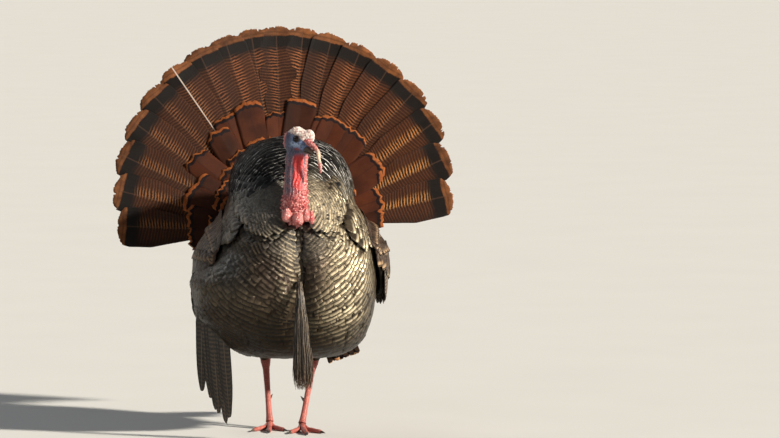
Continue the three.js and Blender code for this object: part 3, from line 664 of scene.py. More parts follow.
def bulb_grid(bulb, salt):
    """A hanging lump: radius r sin(a) wide, its lower half fuller, and pebbled along its own normal."""
    x, y, z, r, half = bulb
    a = np.linspace(0.02, np.pi - 0.02, 44)
    turn = 2 * np.pi * np.arange(48) / 48
    fuller = 1 - 0.22 * np.cos(a)
    wide = (r * np.sin(a) ** 0.9 * fuller)[:, None]
    tall = half * np.cos(a)[:, None] + 0 * turn
    grid = np.stack([x + wide * np.sin(turn), y - wide * np.cos(turn), z + tall], -1)
    out = unit(grid - np.array([x, y, z]))
    rough = pebbles(grid, 0.0085, salt) * 0.0018 + lumps(grid, 0.007, salt + 1) * 0.0008
    return grid + out * rough[..., None]


LEGS = {
    "right": {"hip": (-0.066, 0.040, 0.215), "hock": (-0.053, 0.090, 0.157), "ankle": (-0.049, 0.012, 0.018),
              "heading": -5},
    "left": {"hip": (0.064, 0.026, 0.215), "hock": (0.056, 0.044, 0.157), "ankle": (0.022, -0.040, 0.018),
             "heading": 3},
}
# Toes: turn from the foot's heading in degrees, length, radius.
TOES = {
    "inner": (33, 0.062, 0.0046),
    "middle": (0, 0.082, 0.0052),
    "outer": (-33, 0.066, 0.0046),
    "hind": (170, 0.030, 0.0038),
}
# Swelling of the shank from the hock down: share of its length, radius.
SHANK_SWELLS = ((0.02, 0.0118), (0.10, 0.0100), (0.20, 0.0076), (0.55, 0.0064), (0.88, 0.0070), (1.0, 0.0090))
# Pads of a toe: share of its length, how far the centre is lifted, share of the radius.
TOE_PADS = ((-0.10, 0.0075, 1.15), (0.08, 0.0062, 1.2), (0.30, 0.0014, 1.05), (0.52, 0.0008, 1.08),
            (0.72, 0.0004, 0.95), (0.92, 0.0004, 0.92), (1.0, 0.0006, 0.62))
CLAW_LENGTH = 0.015
SPUR_LENGTH, SPUR_RADIUS = 0.024, 0.005


def sign_of(name):
    """Which way the named side lies along x: 1 on the bird's left and -1 on its right."""
    return 1 if name == "left" else -1


def leg_rows(leg):
    """Rows of x, y, z and radius: the thigh's taper, the swollen hock, the shank and the ankle."""
    hip, hock, ankle = (np.array(leg[key]) for key in ("hip", "hock", "ankle"))
    down = ankle - hock
    rows = [[*hip, 0.026], [*(hip * 0.35 + hock * 0.65), 0.0155], [*(hock + [0, -0.002, 0.012]), 0.0122]]
    for share, radius in SHANK_SWELLS:
        rows.append([*(hock + down * share), radius])
    return np.array(rows)


def shank_grid(leg):
    """The leg's path with plates across its front: shallow steps of a saw wave along the length."""
    share = np.linspace(0, 1, 220)
    grid = tube_grid(leg_rows(leg), share, 28)
    centre = grid.mean(1, keepdims=True)
    out = unit(grid - centre)
    front = smooth(-out[..., 1], 0.1, 0.6)
    plates = 1 - np.mod(share * 46, 1) ** 3
    small = pebbles(grid, 0.0030, 31)
    bare = smooth(share, 0.28, 0.36)[:, None]
    scales = bare * 0.0006 * (front * plates[:, None] + (1 - front) * small)
    return grid + out * scales[..., None]


def toe_rows(name, toe):
    """Rows of x, y, z and radius from the ankle's pad along the floor to the claw's root."""
    turn, length, radius = TOES[toe]
    leg = LEGS[name]
    heading = np.radians(leg["heading"] - sign_of(name) * turn)
    way = np.array([np.sin(heading), -np.cos(heading)])
    ankle = np.array(leg["ankle"])
    rows = []
    for share, lift, swell in TOE_PADS:
        place = ankle[:2] + way * length * share
        rows.append([*place, radius * swell + lift, radius * swell])
    return np.array(rows), way


def toe_grid(name, toe):
    """A toe with pads below, where its joints bulge, and plates across its top."""
    rows, _ = toe_rows(name, toe)
    share = np.linspace(0, 1, 64)
    grid = tube_grid(rows, share, 22, across=(-rows[-1, 1] + rows[0, 1], rows[-1, 0] - rows[0, 0], 0.0))
    centre = grid.mean(1, keepdims=True)
    out = unit(grid - centre)
    top = smooth(out[..., 2], 0.0, 0.6)
    plates = 1 - np.mod(share * 15, 1) ** 3
    pads = smooth(-out[..., 2], 0.2, 0.8) * (np.sin(share * 22) ** 2)[:, None]
    grid = grid + out * (top * 0.0005 * plates[:, None] + 0.0006 * pads)[..., None]
    grid[..., 2] = np.maximum(grid[..., 2], 0.0002)
    return grid


def claw_grid(name, toe):
    """A claw: the toe's end carried on and down, narrowing as 1 - share to a blunt point."""
    rows, way = toe_rows(name, toe)
    length = CLAW_LENGTH * (0.75 if toe == "hind" else 1)
    share = np.linspace(0, 1, 26)
    radius = rows[-2, 3] * 0.80 * (1 - share ** 1.4) + 0.0004
    start = rows[-1, :3] - np.array([*way, 0]) * 0.004
    along = start + np.outer(share * (length + 0.004), [*way, 0.0])
    along[:, 2] = rows[-1, 2] + 0.0012 * np.sin(np.pi * share * 0.8) - (rows[-1, 2] - 0.0012) * share ** 2
    side = np.array([-way[1], way[0], 0.0])
    angle = 2 * np.pi * np.arange(14) / 14
    grid = along[:, None] + radius[:, None, None] * (np.cos(angle)[None, :, None] * side * 0.8)
    grid = grid + radius[:, None, None] * np.sin(angle)[None, :, None] * np.array([0, 0, 1.0])
    grid[..., 2] = np.maximum(grid[..., 2], 0.0002)
    return grid


def spur_grid(name):
    """A spur: a curved cone that leaves the back of the shank low down and bends up."""
    leg = LEGS[name]
    hock, ankle = np.array(leg["hock"]), np.array(leg["ankle"])
    root = hock + (ankle - hock) * 0.66
    aim = unit(np.array([-sign_of(name) * 0.45, 0.8, 0.22]))
    share = np.linspace(0, 1, 30)
    path = root + np.outer(share * SPUR_LENGTH, aim)
    path[:, 2] += 0.006 * share ** 2
    wide = unit(np.cross(aim, [0, 0, 1.0]))
    deep = np.cross(wide, aim)
    radius = SPUR_RADIUS * (1 - share ** 1.3) + 0.0003
    angle = 2 * np.pi * np.arange(18) / 18
    ring = np.cos(angle)[:, None] * wide + np.sin(angle)[:, None] * deep
    return path[:, None] + radius[:, None, None] * ring[None]


BARE, SCALED, DOWNY = 0, 1, 2  # the skin's finishes


def trunk_under_coat():
    """The trunk's own outline moved in along its normal by the coat's depth."""
    share = np.linspace(0.012, 0.988, 60)
    share = share - np.sin(2 * np.pi * share) / 22
    angle = 2 * np.pi * np.arange(72) / 72
    rows = along_rows(TRUNK_STATIONS, share, (1,))
    z, half, front, back = (rows[:, c, None] for c in range(4))
    middle = (front + back) / 2
    ahead = np.cos(angle)[None] > 0
    n = np.where(ahead, BREAST_FULLNESS, RUMP_FULLNESS)
    x = half * np.sign(np.sin(angle)) * np.abs(np.sin(angle)) ** (2 / n)
    reach = np.where(ahead, middle - front, back - middle)
    y = middle - reach * np.sign(np.cos(angle)) * np.abs(np.cos(angle)) ** (2 / n)
    y = y + np.where(ahead, cleft(x, z + 0 * x), 0)
    grid = np.stack([x, y, z + 0 * x], -1)
    inward = ring_normals(grid)
    inward *= -np.sign(np.sum(inward * (grid - BODY_MIDDLE), -1, keepdims=True))
    return grid + inward * COAT_DEPTH


def build_skin(finishes):
    """All the flesh in one piece: the trunk under its coat, head, neck, snood, caruncles, legs and toes."""
    skin = Surfaces()
    ends, normal = head_and_neck()
    grid, marks, more = bare_detail(ends, normal)
    skin.add_shell(grid, (0.0, 0.0, 0.62, 0.80), marks, more, finish=BARE)
    skin.add_shell(trunk_under_coat(), (0.64, 0.0, 1.0, 0.30), finish=DOWNY)
    grid = snood_grid()
    snood_marks, snood_more = shaded(grid, (0, 0, 0, 1))
    snood_more[..., 2] = 0.9 * np.exp(-(((np.linspace(0, 1, len(grid)) - 0.62) / 0.14) ** 2))[:, None]
    skin.add_shell(grid, (0.64, 0.32, 0.78, 0.60), snood_marks, snood_more, finish=BARE)
    for i, bulb in enumerate(CARUNCLES):
        grid = bulb_grid(bulb, 40 + i)
        left, low = 0.79 + 0.105 * (i % 2), 0.32 + 0.145 * (i // 2)
        marks = shaded(grid, (0, 0, 0, 1), (0, 1, 0, 0))
        skin.add_shell(grid, (left, low, left + 0.10, low + 0.14), *marks, finish=BARE)
    for i, (name, leg) in enumerate(LEGS.items()):
        skin.add_shell(shank_grid(leg), (0.32 * i, 0.82, 0.30 + 0.32 * i, 1.0), finish=SCALED)
        for j, toe in enumerate(TOES):
            low = 0.62 + 0.09 * (2 * i + j // 2)
            box = (0.65 + 0.175 * (j % 2), low, 0.82 + 0.175 * (j % 2), low + 0.085)
            skin.add_shell(toe_grid(name, toe), box, finish=SCALED)
    flesh = ["trunk", "neck", "head", "snood", "tail_base"]
    flesh += [f"caruncle_{place}" for place in ("right", "middle", "left", "far_left")]
    flesh += [f"{part}_{side}" for part in ("thigh", "shank", "foot") for side in ("left", "right")]
    return skin.build("skin", finishes, flesh)


# ---- eyes, bill, beard, claws -------------------------------------------------------------
def build_eyes(finish):
    """Two balls whose marks give the angle from the way that each looks: pupil, iris and rim."""
    eyes = Surfaces()
    a = np.linspace(0.03, np.pi - 0.03, 40)
    turn = 2 * np.pi * np.arange(40) / 40
    for i, sign in enumerate((-1, 1)):
        centre = on_head(sign * EYE_PLACE[0], EYE_PLACE[1], EYE_PLACE[2])
        look = unit(HEAD_LEFT * sign + HEAD_AHEAD * 0.35)
        wide = unit(np.cross(look, [0, 0, 1.0]))
        deep = np.cross(wide, look)
        ring = np.cos(turn)[:, None] * wide + np.sin(turn)[:, None] * deep
        bulge = EYE_RADIUS * (1 + 0.03 * np.exp(-((a / 0.55) ** 2)))
        ball = np.sin(a)[:, None, None] * ring[None] + np.cos(a)[:, None, None] * look
        grid = centre + bulge[:, None, None] * ball
        marks, _ = shaded(grid, (0, 0, 0, 0))
        marks[..., 0] = a[:, None] / np.pi
        eyes.add_shell(grid, (0.5 * i, 0, 0.5 * i + 0.48, 1), marks)
    return eyes.build("eyes", [finish], ["eye_left", "eye_right"])


def bill_half(upper):
    """Half of the bill: forward t, half-width w(1 - t^1.7), depth d(1 - t^2.1), drooping as t^2.4.

    The upper half hooks over the lower at the tip, and a nostril is pressed into each of its sides."""
    t = np.linspace(0, 1, 60)
    reach, droop = (BILL_LENGTH + 0.006, 0.004) if upper else (BILL_LENGTH + 0.002, 0.003)
    half = (0.0086 if upper else 0.0076) * (1 - t ** 1.7) + 0.0009
    height = (0.0080 if upper else 0.0045) * (1 - t ** 2.1) + 0.0010
    ahead = BILL_ROOT - 0.006 + t * reach
    base = (-0.0155 if upper else -0.0186) - droop * t ** 2.4
    turn = 2 * np.pi * np.arange(36) / 36
    round_top = np.where(np.sin(turn) > 0, np.sin(turn), 0.10 * np.sin(turn))
    if not upper:
        round_top = np.where(np.sin(turn) < 0, np.sin(turn), 0.10 * np.sin(turn))
    side = half[:, None] * np.sign(np.cos(turn)) * np.abs(np.cos(turn)) ** 0.8
    up = base[:, None] + height[:, None] * round_top
    if upper:
        nostril = np.exp(-(((ahead[:, None] - 0.040) / 0.0030) ** 2) - ((up + 0.0125) / 0.0014) ** 2)
        side = side * (1 - 0.30 * nostril)
    return on_head(side, ahead[:, None] + 0 * side, up)


def add_horn(surfaces, grid, box):
    """A shell whose first mark goes from 0 at its root to 1 at its tip."""
    marks, _ = shaded(grid, (0, 0, 0, 0))
    marks[..., 0] = np.linspace(0, 1, len(grid))[:, None]
    surfaces.add_shell(grid, box, marks)


def build_bill(finish):
    """The two halves of the bill, each a piece of its own."""
    for name, node, upper in (("upper_bill", "bill_upper", True), ("lower_bill", "bill_lower", False)):
        bill = Surfaces()
        add_horn(bill, bill_half(upper), (0, 0, 1, 1))
        bill.build(name, [finish], [node])


def build_claws(finish):
    """One piece for the eight claws and one for the two spurs."""
    claws = Surfaces()
    nodes = []
    for i, name in enumerate(LEGS):
        for j, toe in enumerate(TOES):
            add_horn(claws, claw_grid(name, toe), (0.5 * i, 0.25 * j, 0.5 * i + 0.48, 0.25 * j + 0.23))
            nodes.append(f"claw_{toe}_{name}")
    claws.build("claws", [finish], nodes)
    spurs = Surfaces()
    for i, name in enumerate(LEGS):
        add_horn(spurs, spur_grid(name), (0.5 * i, 0, 0.5 * i + 0.48, 1))
    spurs.build("spurs", [finish], ["spur_left", "spur_right"])


BRISTLES, BRISTLE_RADIUS = 620, 0.00085


def build_beard(finish):
    """Coarse bristles: each follows the beard's path at its own place in the section, to its own length."""
    rng = np.random.default_rng(11)
    count, rows, sides = BRISTLES, 18, 4
    angle, out = rng.uniform(0, 2 * np.pi, count), np.sqrt(rng.uniform(0, 1, count))
    is_short = rng.uniform(0, 1, count) < 0.35
    stop = np.where(is_short, rng.uniform(0.55, 0.9, count), rng.uniform(0.80, 1.0, count))
    share = np.linspace(0, 1, rows)[None] * stop[:, None]
    path = along_rows(BEARD_LINE, share)
    stray = rng.normal(0, 0.0030, (count, 1)) * share ** 3
    stray = stray + 0.0009 * np.sin(share * 30 + rng.uniform(0, 6, (count, 1)))
    centre = path[..., :3].copy()
    centre[..., 0] += path[..., 3] * np.cos(angle)[:, None] * out[:, None] + stray
    centre[..., 1] += path[..., 4] * np.sin(angle)[:, None] * out[:, None] + stray * 0.6
    radius = (BRISTLE_RADIUS * rng.uniform(0.8, 1.25, count))[:, None]
    radius = radius * np.clip(1.35 - share / stop[:, None], 0.25, 1)
    turn = 2 * np.pi * (np.arange(sides) + 0.5) / sides
    ring = np.stack([np.cos(turn), np.sin(turn), 0 * turn], -1)
    grid = centre[:, :, None] + radius[:, :, None, None] * ring
    points = grid.reshape(count, rows * sides, 3)
    i, j = np.meshgrid(np.arange(rows - 1), np.arange(sides), indexing="ij")
    i, j = i.ravel(), j.ravel()
    here, above, after = i * sides, (i + 1) * sides, (j + 1) % sides
    quads = np.stack([here + j, above + j, above + after, here + after], 1)
    k = np.arange(sides)
    caps = np.stack([k, (rows - 1) * sides + k[::-1]])
    quads = np.concatenate([quads, caps])
    every = (quads[None] + (np.arange(count) * rows * sides)[:, None, None]).reshape(-1, 4)
    vane = np.stack([(np.tile(k, rows) + 0.5) / sides, np.repeat(np.linspace(0, 1, rows), sides)], -1)
    cells = int(np.ceil(np.sqrt(count)))
    corner = np.stack([np.arange(count) % cells, np.arange(count) // cells], -1) / cells
    laid = corner[:, None] + vane[None] * 0.8 / cells
    marks = np.zeros((count, rows * sides, 4))
    marks[..., 0] = rng.uniform(0, 1, (count, 1))
    beard = Surfaces()
    vane_map = np.tile(vane[quads], (count, 1, 1, 1)).reshape(-1, 4, 2)
    maps = {"Vane": vane_map, "OFBake": laid[:, quads].reshape(-1, 4, 2)}
    beard.add(points.reshape(-1, 3), every, maps, marks.reshape(-1, 4))
    beard.build("beard_bristles", [finish], ["beard"])


# ---- body feathers ------------------------------------------------------------------------
# Lobes of plumage that stand over what is below them: x, z, half-width, half-height, how far out.
LOBES = np.array([
    [-0.074, 0.545, 0.060, 0.082, 0.010],
    [0.058, 0.548, 0.050, 0.080, 0.010],
    [-0.172, 0.505, 0.040, 0.064, 0.008],
    [0.150, 0.495, 0.034, 0.058, 0.008],
])
PARTING = 0.002  # x of the line that parts the breast
PARTING_DIP, PARTING_SPREAD, PARTING_GROOVE = 0.135, 0.050, 0.0042
BELLY_TOP = 0.38  # height that parts the breast's coat from the belly's


def row_beta(alpha, beta):
    """A row's angle from the neck: let down beside the parting by dip exp(-|x| / spread), and waved."""
    x = 0.27 * np.sin(beta) * np.abs((alpha % (2 * np.pi)) - np.pi)
    fade = smooth(beta, 0.16, 0.34) * (1 - smooth(beta, 0.72, 1.15))
    wave = 0.009 * np.sin(6 * alpha + 11 * beta) + 0.006 * np.sin(13 * alpha - 17 * beta)
    return beta + PARTING_DIP * fade * np.exp(-x / PARTING_SPREAD) + wave * smooth(beta, 0.15, 0.5)


def row_frame(alpha, beta):
    """Point on the outline, its outward normal, and the way the feathers lie, square to their row."""
    step = 0.015
    at = row_beta(alpha, beta)
    point = on_trunk(alpha, at)
    after, before = alpha + step, alpha - step
    along_row = on_trunk(after, row_beta(after, beta)) - on_trunk(before, row_beta(before, beta))
    from_neck = on_trunk(alpha, at + step) - on_trunk(alpha, at - step)
    normal = unit(np.cross(along_row, from_neck))
    normal *= np.sign(np.sum(normal * (point - BODY_MIDDLE), -1, keepdims=True))
    lie = np.cross(normal, unit(along_row))
    lie *= np.sign(np.sum(lie * from_neck, -1, keepdims=True))
    return point, normal, unit(lie), at


def lobe_height(points):
    """How far the plumage stands out, how near it is to a lobe's lower edge, and how much painted shade falls
    on it in crevices.

    A lobe has a steep lower edge and a soft upper one; below it, and along the parting, run crevices, where
    the plumage is painted dark as shade."""
    x, y, z = points[..., 0], points[..., 1], points[..., 2]
    front = smooth(-y, 0.03, 0.10)
    height, edge, crevice_shade = (np.zeros(points.shape[:-1]) for _ in range(3))
    for cx, cz, half, tall, out in LOBES:
        r = np.hypot((x - cx) / half, (z - cz) / tall) + 0.04 * lumps(points, 0.03, 71)
        below = smooth(cz - z, -0.01, 0.03) * front * out / 0.010
        inside = 1 - smooth(r, 0.93, 0.99)
        upper = 1 - 0.8 * smooth(z, cz, cz + tall * 0.8)
        height = np.maximum(height, out * inside * upper * front)
        edge = np.maximum(edge, np.exp(-(((r - 0.92) / 0.07) ** 2)) * below)
        crevice_shade = np.maximum(crevice_shade, np.exp(-(((r - 1.06) / 0.06) ** 2)) * below)
    along = smooth(z, 0.20, 0.34) * (1 - smooth(z, 0.490, 0.515)) * front
    parting = np.exp(-(((x - PARTING) / 0.0080) ** 2)) * along
    groove = PARTING_GROOVE * np.exp(-(((x - PARTING) / 0.0085) ** 2)) * along
    return height - groove, edge, np.maximum(crevice_shade * (1 - edge), parting)


def body_layout():
    """Every feather's root: rows round the neck whose step grows with distance from it.

    In a row the feathers stand 1.8 steps apart, and each row is half a place on from the last."""
    rng = np.random.default_rng(5)
    beta, row = 0.145, 0
    found = []
    while beta < 3.11:
        step = 0.0062 + 0.0036 * smooth(beta, 0.30, 0.70) + 0.0012 * smooth(beta, 1.0, 1.4)
        probe = np.linspace(0, 2 * np.pi, 181)
        line = on_trunk(probe, row_beta(probe, np.full(181, beta)))
        reach = np.concatenate([[0], np.cumsum(np.linalg.norm(np.diff(line, axis=0), axis=-1))])
        count = max(int(round(reach[-1] / (1.8 * step))), 6)
        at = (np.arange(count) + 0.5 * (row % 2) + rng.uniform(-0.09, 0.09, count)) / count % 1.0
        alpha = np.interp(at * reach[-1], reach, probe)
        shift = rng.uniform(-0.10, 0.10, count) * step / 0.27
        spacing = np.full(count, reach[-1] / count)
        found.append(np.stack([alpha, beta + shift, np.full(count, step), spacing], -1))
        far = np.linalg.norm(line - BODY_MIDDLE, axis=-1).mean()
        beta += step / far
        row += 1
    return np.concatenate(found)


def wing_covers(points, margin=0.028):
    """Where the folded wings lie over the trunk, drawn in by a margin."""
    covered = np.zeros(points.shape[:-1], bool)
    for wing in WINGS.values():
        s = (points[..., 1] - wing["front"]) / (wing["back"] - wing["front"])
        low = wing["low"] + 0.06 * (1 - s) ** 3 + 0.07 * s ** 3
        round_it = np.sin(np.pi * np.clip(s, 0, 1)) ** 0.5
        middle = 0.55 * wing["top"] + 0.45 * low
        inside = (points[..., 2] < middle + (wing["top"] - middle) * round_it - margin)
        inside &= points[..., 2] > middle - (middle - low) * round_it + margin
        inside &= (s > 0.06) & (s < 0.94) & (points[..., 0] * wing["side"] > 0.03)
        covered |= inside
    return covered & (flank_swell(points) < 0.030)


def laid_out(alpha, beta, spacing, step, far=0.27):
    """Each root's patch on the skin unwrapped about the neck: beta (sin alpha, cos alpha), made to fit."""
    place = np.stack([beta * np.sin(alpha), beta * np.cos(alpha)], -1)
    low, high = place.min(0) - 0.05, place.max(0) + 0.05
    scale = 1 / np.max(high - low)
    place = (place - low) * scale
    stretch = beta / np.maximum(np.sin(beta), 0.25)
    share = 0.80 * scale / far
    return place[:, 0], place[:, 1], share * spacing * stretch, share * step, alpha


def blob(points, x, z, half, tall):
    """1 at a place seen from the front, falling off as a Gaussian across and up."""
    return np.exp(-(((points[..., 0] - x) / half) ** 2) - ((points[..., 2] - z) / tall) ** 2)


def build_body_feathers(finishes):
    """The trunk's coat in five pieces: breast, mantle, rump, vent and belly."""
    alpha, beta, step, spacing = body_layout().T
    point, normal, lie, at = row_frame(alpha, beta)
    height, edge, crevice_shade = lobe_height(point)
    keep = ~wing_covers(point) & (np.linalg.norm(point - NECK_ROOT, axis=-1) > 0.030)
    keep &= ~((point[:, 1] > 0.17) & (np.abs(point[:, 0]) < 0.014) & (np.abs(point[:, 2] - 0.44) < 0.014))
    rng = np.random.default_rng(6)
    x, y, z = point.T
    behind_neck = 0.060 * np.exp(-((x / 0.060) ** 2)) * smooth(y, -0.155, -0.120)
    black_above = 0.606 - 0.55 * np.abs(x - 0.01) - behind_neck + 0.010 * rng.normal(0, 1, len(x))
    mantle = smooth(z, black_above, black_above + 0.040) * (1 - smooth(y, 0.06, 0.12))
    rump = smooth(y + 0.25 * (z - 0.44), 0.075, 0.125) * smooth(z, 0.40, 0.46)
    vent = smooth(y + 0.35 * (0.3 - z), 0.075, 0.14) * (1 - smooth(z, 0.40, 0.46))
    front = smooth(-y, 0.0, 0.06)
    # darker towards the belly; the next line adds painted shade to the breast's side away from the key light
    # (x < 0)
    belly = (1 - smooth(z, 0.22, 0.42)) * (1 - 0.10 * smooth(x, 0.03, 0.12))
    belly = np.maximum(belly, 0.42 * smooth(-x, 0.00, 0.09) * front * (1 - smooth(z, 0.48, 0.56)))
    # pale gold edges, partly the feathers' own colour and partly painted highlight: first beside the parting,
    # where the feathers face the key light
    gilt_and_highlight = 0.55 * np.exp(-(((x + 0.018) / 0.022) ** 2)) * (x < 0)
    gilt_and_highlight *= smooth(z, 0.31, 0.36) * (1 - smooth(z, 0.47, 0.50))
    # painted highlight: bright gold patches on the lit side of the breast and its lobes (x > 0)
    gilt_and_highlight += 2.2 * blob(point, 0.118, 0.405, 0.038, 0.100) + 0.6 * blob(point, 0.090, 0.300, 0.050, 0.050)
    gilt_and_highlight += blob(point, 0.036, 0.530, 0.016, 0.045) + 0.9 * blob(point, 0.085, 0.505, 0.035, 0.040)
    # painted highlight on the lobes' lower edges, stronger on the lit side
    gilt_and_highlight += 0.9 * edge * (x > 0) + 0.15 * edge
    gilt_and_highlight = np.clip(gilt_and_highlight * front + 0.8 * (rump > 0.5), 0, 1) * rng.uniform(0.25, 1, len(x))
    cape = (1 - smooth(beta, 0.34, 0.56)) * front * (1 - mantle)
    # painted reflection: blue-grey sky sheen on the bird's right side (x < 0), which is in shade
    sky_sheen = blob(point, -0.155, 0.405, 0.045, 0.060) + 1.2 * blob(point, -0.080, 0.550, 0.075, 0.080)
    rosy = blob(point, -0.060, 0.390, 0.060, 0.090) + 0.7 * blob(point, 0.035, 0.420, 0.030, 0.070)
    tint = np.clip(rng.uniform(0, 1, len(x)) * 0.6 + 0.2 + 0.3 * lumps(point, 0.05, 3), 0, 1)
    # painted shade: on the mantle's side away from the key light (x < 0) the tint drops, so fewer pale rims
    # show
    tint = tint * (1 - 0.55 * smooth(-x, 0.0, 0.08) * mantle)
    marks = np.stack([tint, mantle, belly, gilt_and_highlight], -1)
    more = np.clip(np.stack([crevice_shade, cape, sky_sheen * front, rosy * front], -1), 0, 1)
    names = ("breast_feathers", "mantle_feathers", "rump_feathers", "vent_feathers", "belly_feathers")
    # A feather's kind is the place of its piece in names.
    kind = np.select([rump > 0.5, vent > 0.5, mantle > 0.5, z < BELLY_TOP], [2, 3, 1, 4])
    is_mantle, is_rear = kind == 1, (kind == 2) | (kind == 3)
    out = height - 0.0075
    length = step * (3.1 + 0.35 * is_mantle) * rng.uniform(0.94, 1.07, len(x)) + 0.012 * is_rear
    width = spacing * (1.7 + 0.2 * is_mantle)
    lift = 0.19 + 0.08 * edge - 0.10 * crevice_shade + rng.normal(0, 0.020, len(x)) + 0.03 * is_mantle
    root = point + normal * out[:, None] - lie * (length * 0.55)[:, None]
    root = root - normal * (length * 0.55 * 0.10)[:, None]
    for i, name in enumerate(names):
        here = np.flatnonzero(keep & (kind == i))
        coat = Surfaces()
        patch = laid_out(alpha[here], at[here], spacing[here], step[here])
        chosen = [part[here] for part in (root, lie, normal, length, width, marks)]
        add_feathers(coat, *chosen, patch, shape=MANTLE if i == 1 else CONTOUR, rows=6, lift=lift[here],
                     bend=0.16, camber=0.06, ragged=0.0003, seed=20 + i, twist=0.040, more=more[here])
        coat.build(name, [finishes[i]])


def build_thigh_feathers(finish):
    """Short rows round the top of each leg, pointing down it, where it leaves the belly."""
    coat = Surfaces()
    roots, lies, normals = [], [], []
    for leg in LEGS.values():
        hip, hock = np.array(leg["hip"]), np.array(leg["hock"])
        down = unit(hock - hip)
        for k, share in enumerate(np.linspace(0.18, 0.80, 9)):
            count = 16 - k
            turn = 2 * np.pi * (np.arange(count) + 0.5 * (k % 2)) / count
            out = np.stack([np.cos(turn), np.sin(turn), 0 * turn], -1)
            out = unit(out - down * (out @ down)[:, None])
            roots.append(hip + (hock - hip) * share + out * (0.034 - 0.024 * share))
            lies.append(unit(down - out * 0.30))
            normals.append(out)
    root, lie, normal = (np.concatenate(part) for part in (roots, lies, normals))
    normal = unit(normal - lie * np.sum(normal * lie, -1, keepdims=True))
    count = len(root)
    rng = np.random.default_rng(8)
    marks = np.stack([rng.uniform(0, 1, count), np.zeros(count), np.full(count, 0.6), np.zeros(count)], -1)
    length = rng.uniform(0.020, 0.026, count)
    add_feathers(coat, root, lie, normal, length, 0.013, marks, atlas(count), lift=0.15, bend=0.05, seed=31,
                 ragged=0.0006)
    coat.build("thigh_feathers", [finish])


# Fringe under the left side of the belly: the first root, the last one, and how many.
FRINGE_FIRST = np.array([0.082, -0.010, 0.186])
FRINGE_LAST = np.array([0.142, -0.010, 0.206])
FRINGE_COUNT = 9


def build_fringe(finish):
    """A row of banded tips that show below the left side of the belly."""
    share = np.linspace(0, 1, FRINGE_COUNT)
    rng = np.random.default_rng(14)
    root = FRINGE_FIRST + (FRINGE_LAST - FRINGE_FIRST) * share[:, None]
    root[:, 1] += 0.004 * (np.arange(FRINGE_COUNT) % 2)
    lie = unit(np.array([0.30, -0.05, -1.0]) + 0.25 * share[:, None] * np.array([1.0, 0, 0]))
    normal = np.broadcast_to([0.0, -1.0, 0.0], lie.shape)
    normal = unit(normal - lie * np.sum(normal * lie, -1, keepdims=True))
    length = 0.032 * rng.uniform(0.92, 1.08, FRINGE_COUNT)
    marks = np.stack([rng.uniform(0, 1, FRINGE_COUNT), 0 * length, 0 * length, length / MARKED_LENGTH], -1)
    coat = Surfaces()
    add_feathers(coat, root, lie, normal, length, 0.012, marks, atlas(FRINGE_COUNT), lift=0.03, bend=0.4,
                 camber=0.10, seed=33, ragged=0.0004)
    coat.build("belly_fringe", [finish])


def atlas(count, columns=None):
    """One upright patch for each feather, side by side in rows that fill the square."""
    columns = columns or int(np.ceil(np.sqrt(count)))
    rows = int(np.ceil(count / columns))
    k = np.arange(count)
    wide, tall = np.full(count, 0.9 / columns), np.full(count, 0.92 / rows)
    return (k % columns + 0.5) / columns, (k // columns + 0.5) / rows, wide, tall, np.zeros(count)


# ---- wings --------------------------------------------------------------------------------
WINGS = {
    "right": {"side": -1, "front": -0.156, "back": 0.196, "top": 0.486, "low": 0.250, "swell": 0.035},
    "left": {"side": 1, "front": -0.156, "back": 0.196, "top": 0.486, "low": 0.288, "swell": 0.032},
}
USUAL_TALL = 0.236  # height of the wing that the long feathers' lengths are given for
# Drooped flight feathers: root, tip, width of the bunch, lean about its length in degrees.
PRIMARIES = {
    "right": {"root": (-0.188, -0.042, 0.296), "tip": (-0.160, 0.044, 0.009), "width": 0.096, "lean": 62},
    "left": {"root": (0.196, 0.010, 0.318), "tip": (0.112, 0.236, 0.132), "width": 0.088, "lean": 22},
}
# How much shorter each primary of a bunch is than the curve that their tips follow.
PRIMARY_STAGGER = np.array([0.0, 0.4, -0.3, 0.3, -0.4, 0.5, -0.3]) * 0.012


def wing_point(wing, s, t, out):
    """A place on a folded wing: s from front to back, t from shoulder to edge, out from flank to outside.

    x = flank(y, z) + gap + out (base + swell rise(t) fall(t) length(s)), where rise and fall round off the
    shoulder and the edge, and length rounds off the ends."""
    y = wing["front"] + (wing["back"] - wing["front"]) * s
    arch = np.sin(np.pi * np.clip(s, 0.001, 0.999))
    ends = arch ** np.where(s < 0.5, 0.42, 0.62)
    shoulder = wing["top"] - 0.014 * s
    edge = wing["low"] + 0.06 * (1 - s) ** 3 + 0.07 * s ** 3
    middle = 0.55 * shoulder + 0.45 * edge
    z = middle + (shoulder + (edge - shoulder) * t - middle) * ends
    rise = np.clip(t / 0.3, 0, 1) ** 0.7
    fall = np.sqrt(1 - 0.96 * np.clip((t - 0.8) / 0.2, 0, 1) ** 2)
    length = arch ** 0.6 * (1.05 - 0.3 * s)
    half, front, back = trunk_section(np.maximum(z, 0.33))
    centre, reach = (front + back) / 2, (back - front) / 2
    n = np.where(y < centre, BREAST_FULLNESS, RUMP_FULLNESS)
    flank = half * np.clip(1 - np.abs((y - centre) / reach) ** n, 0, 1) ** (1 / n)
    thick = 0.0025 + wing["swell"] * rise * fall * length
    x = flank + 0.0012 - 0.06 * np.clip(0.33 - z, 0, None) + out * thick
    return np.stack(np.broadcast_arrays(wing["side"] * x, y, z), -1)


def wing_frame(wing, s, t, out):
    """Point, outward normal, and the ways towards the back and the edge."""
    h = 0.012
    point = wing_point(wing, s, t, out)
    to_back = unit(wing_point(wing, s + h, t, out) - wing_point(wing, s - h, t, out))
    to_edge = unit(wing_point(wing, s, t + h, out) - wing_point(wing, s, t - h, out))
    normal = unit(np.cross(to_back, to_edge))
    normal *= np.sign(normal[..., :1] * wing["side"])
    return point, normal, to_back, to_edge


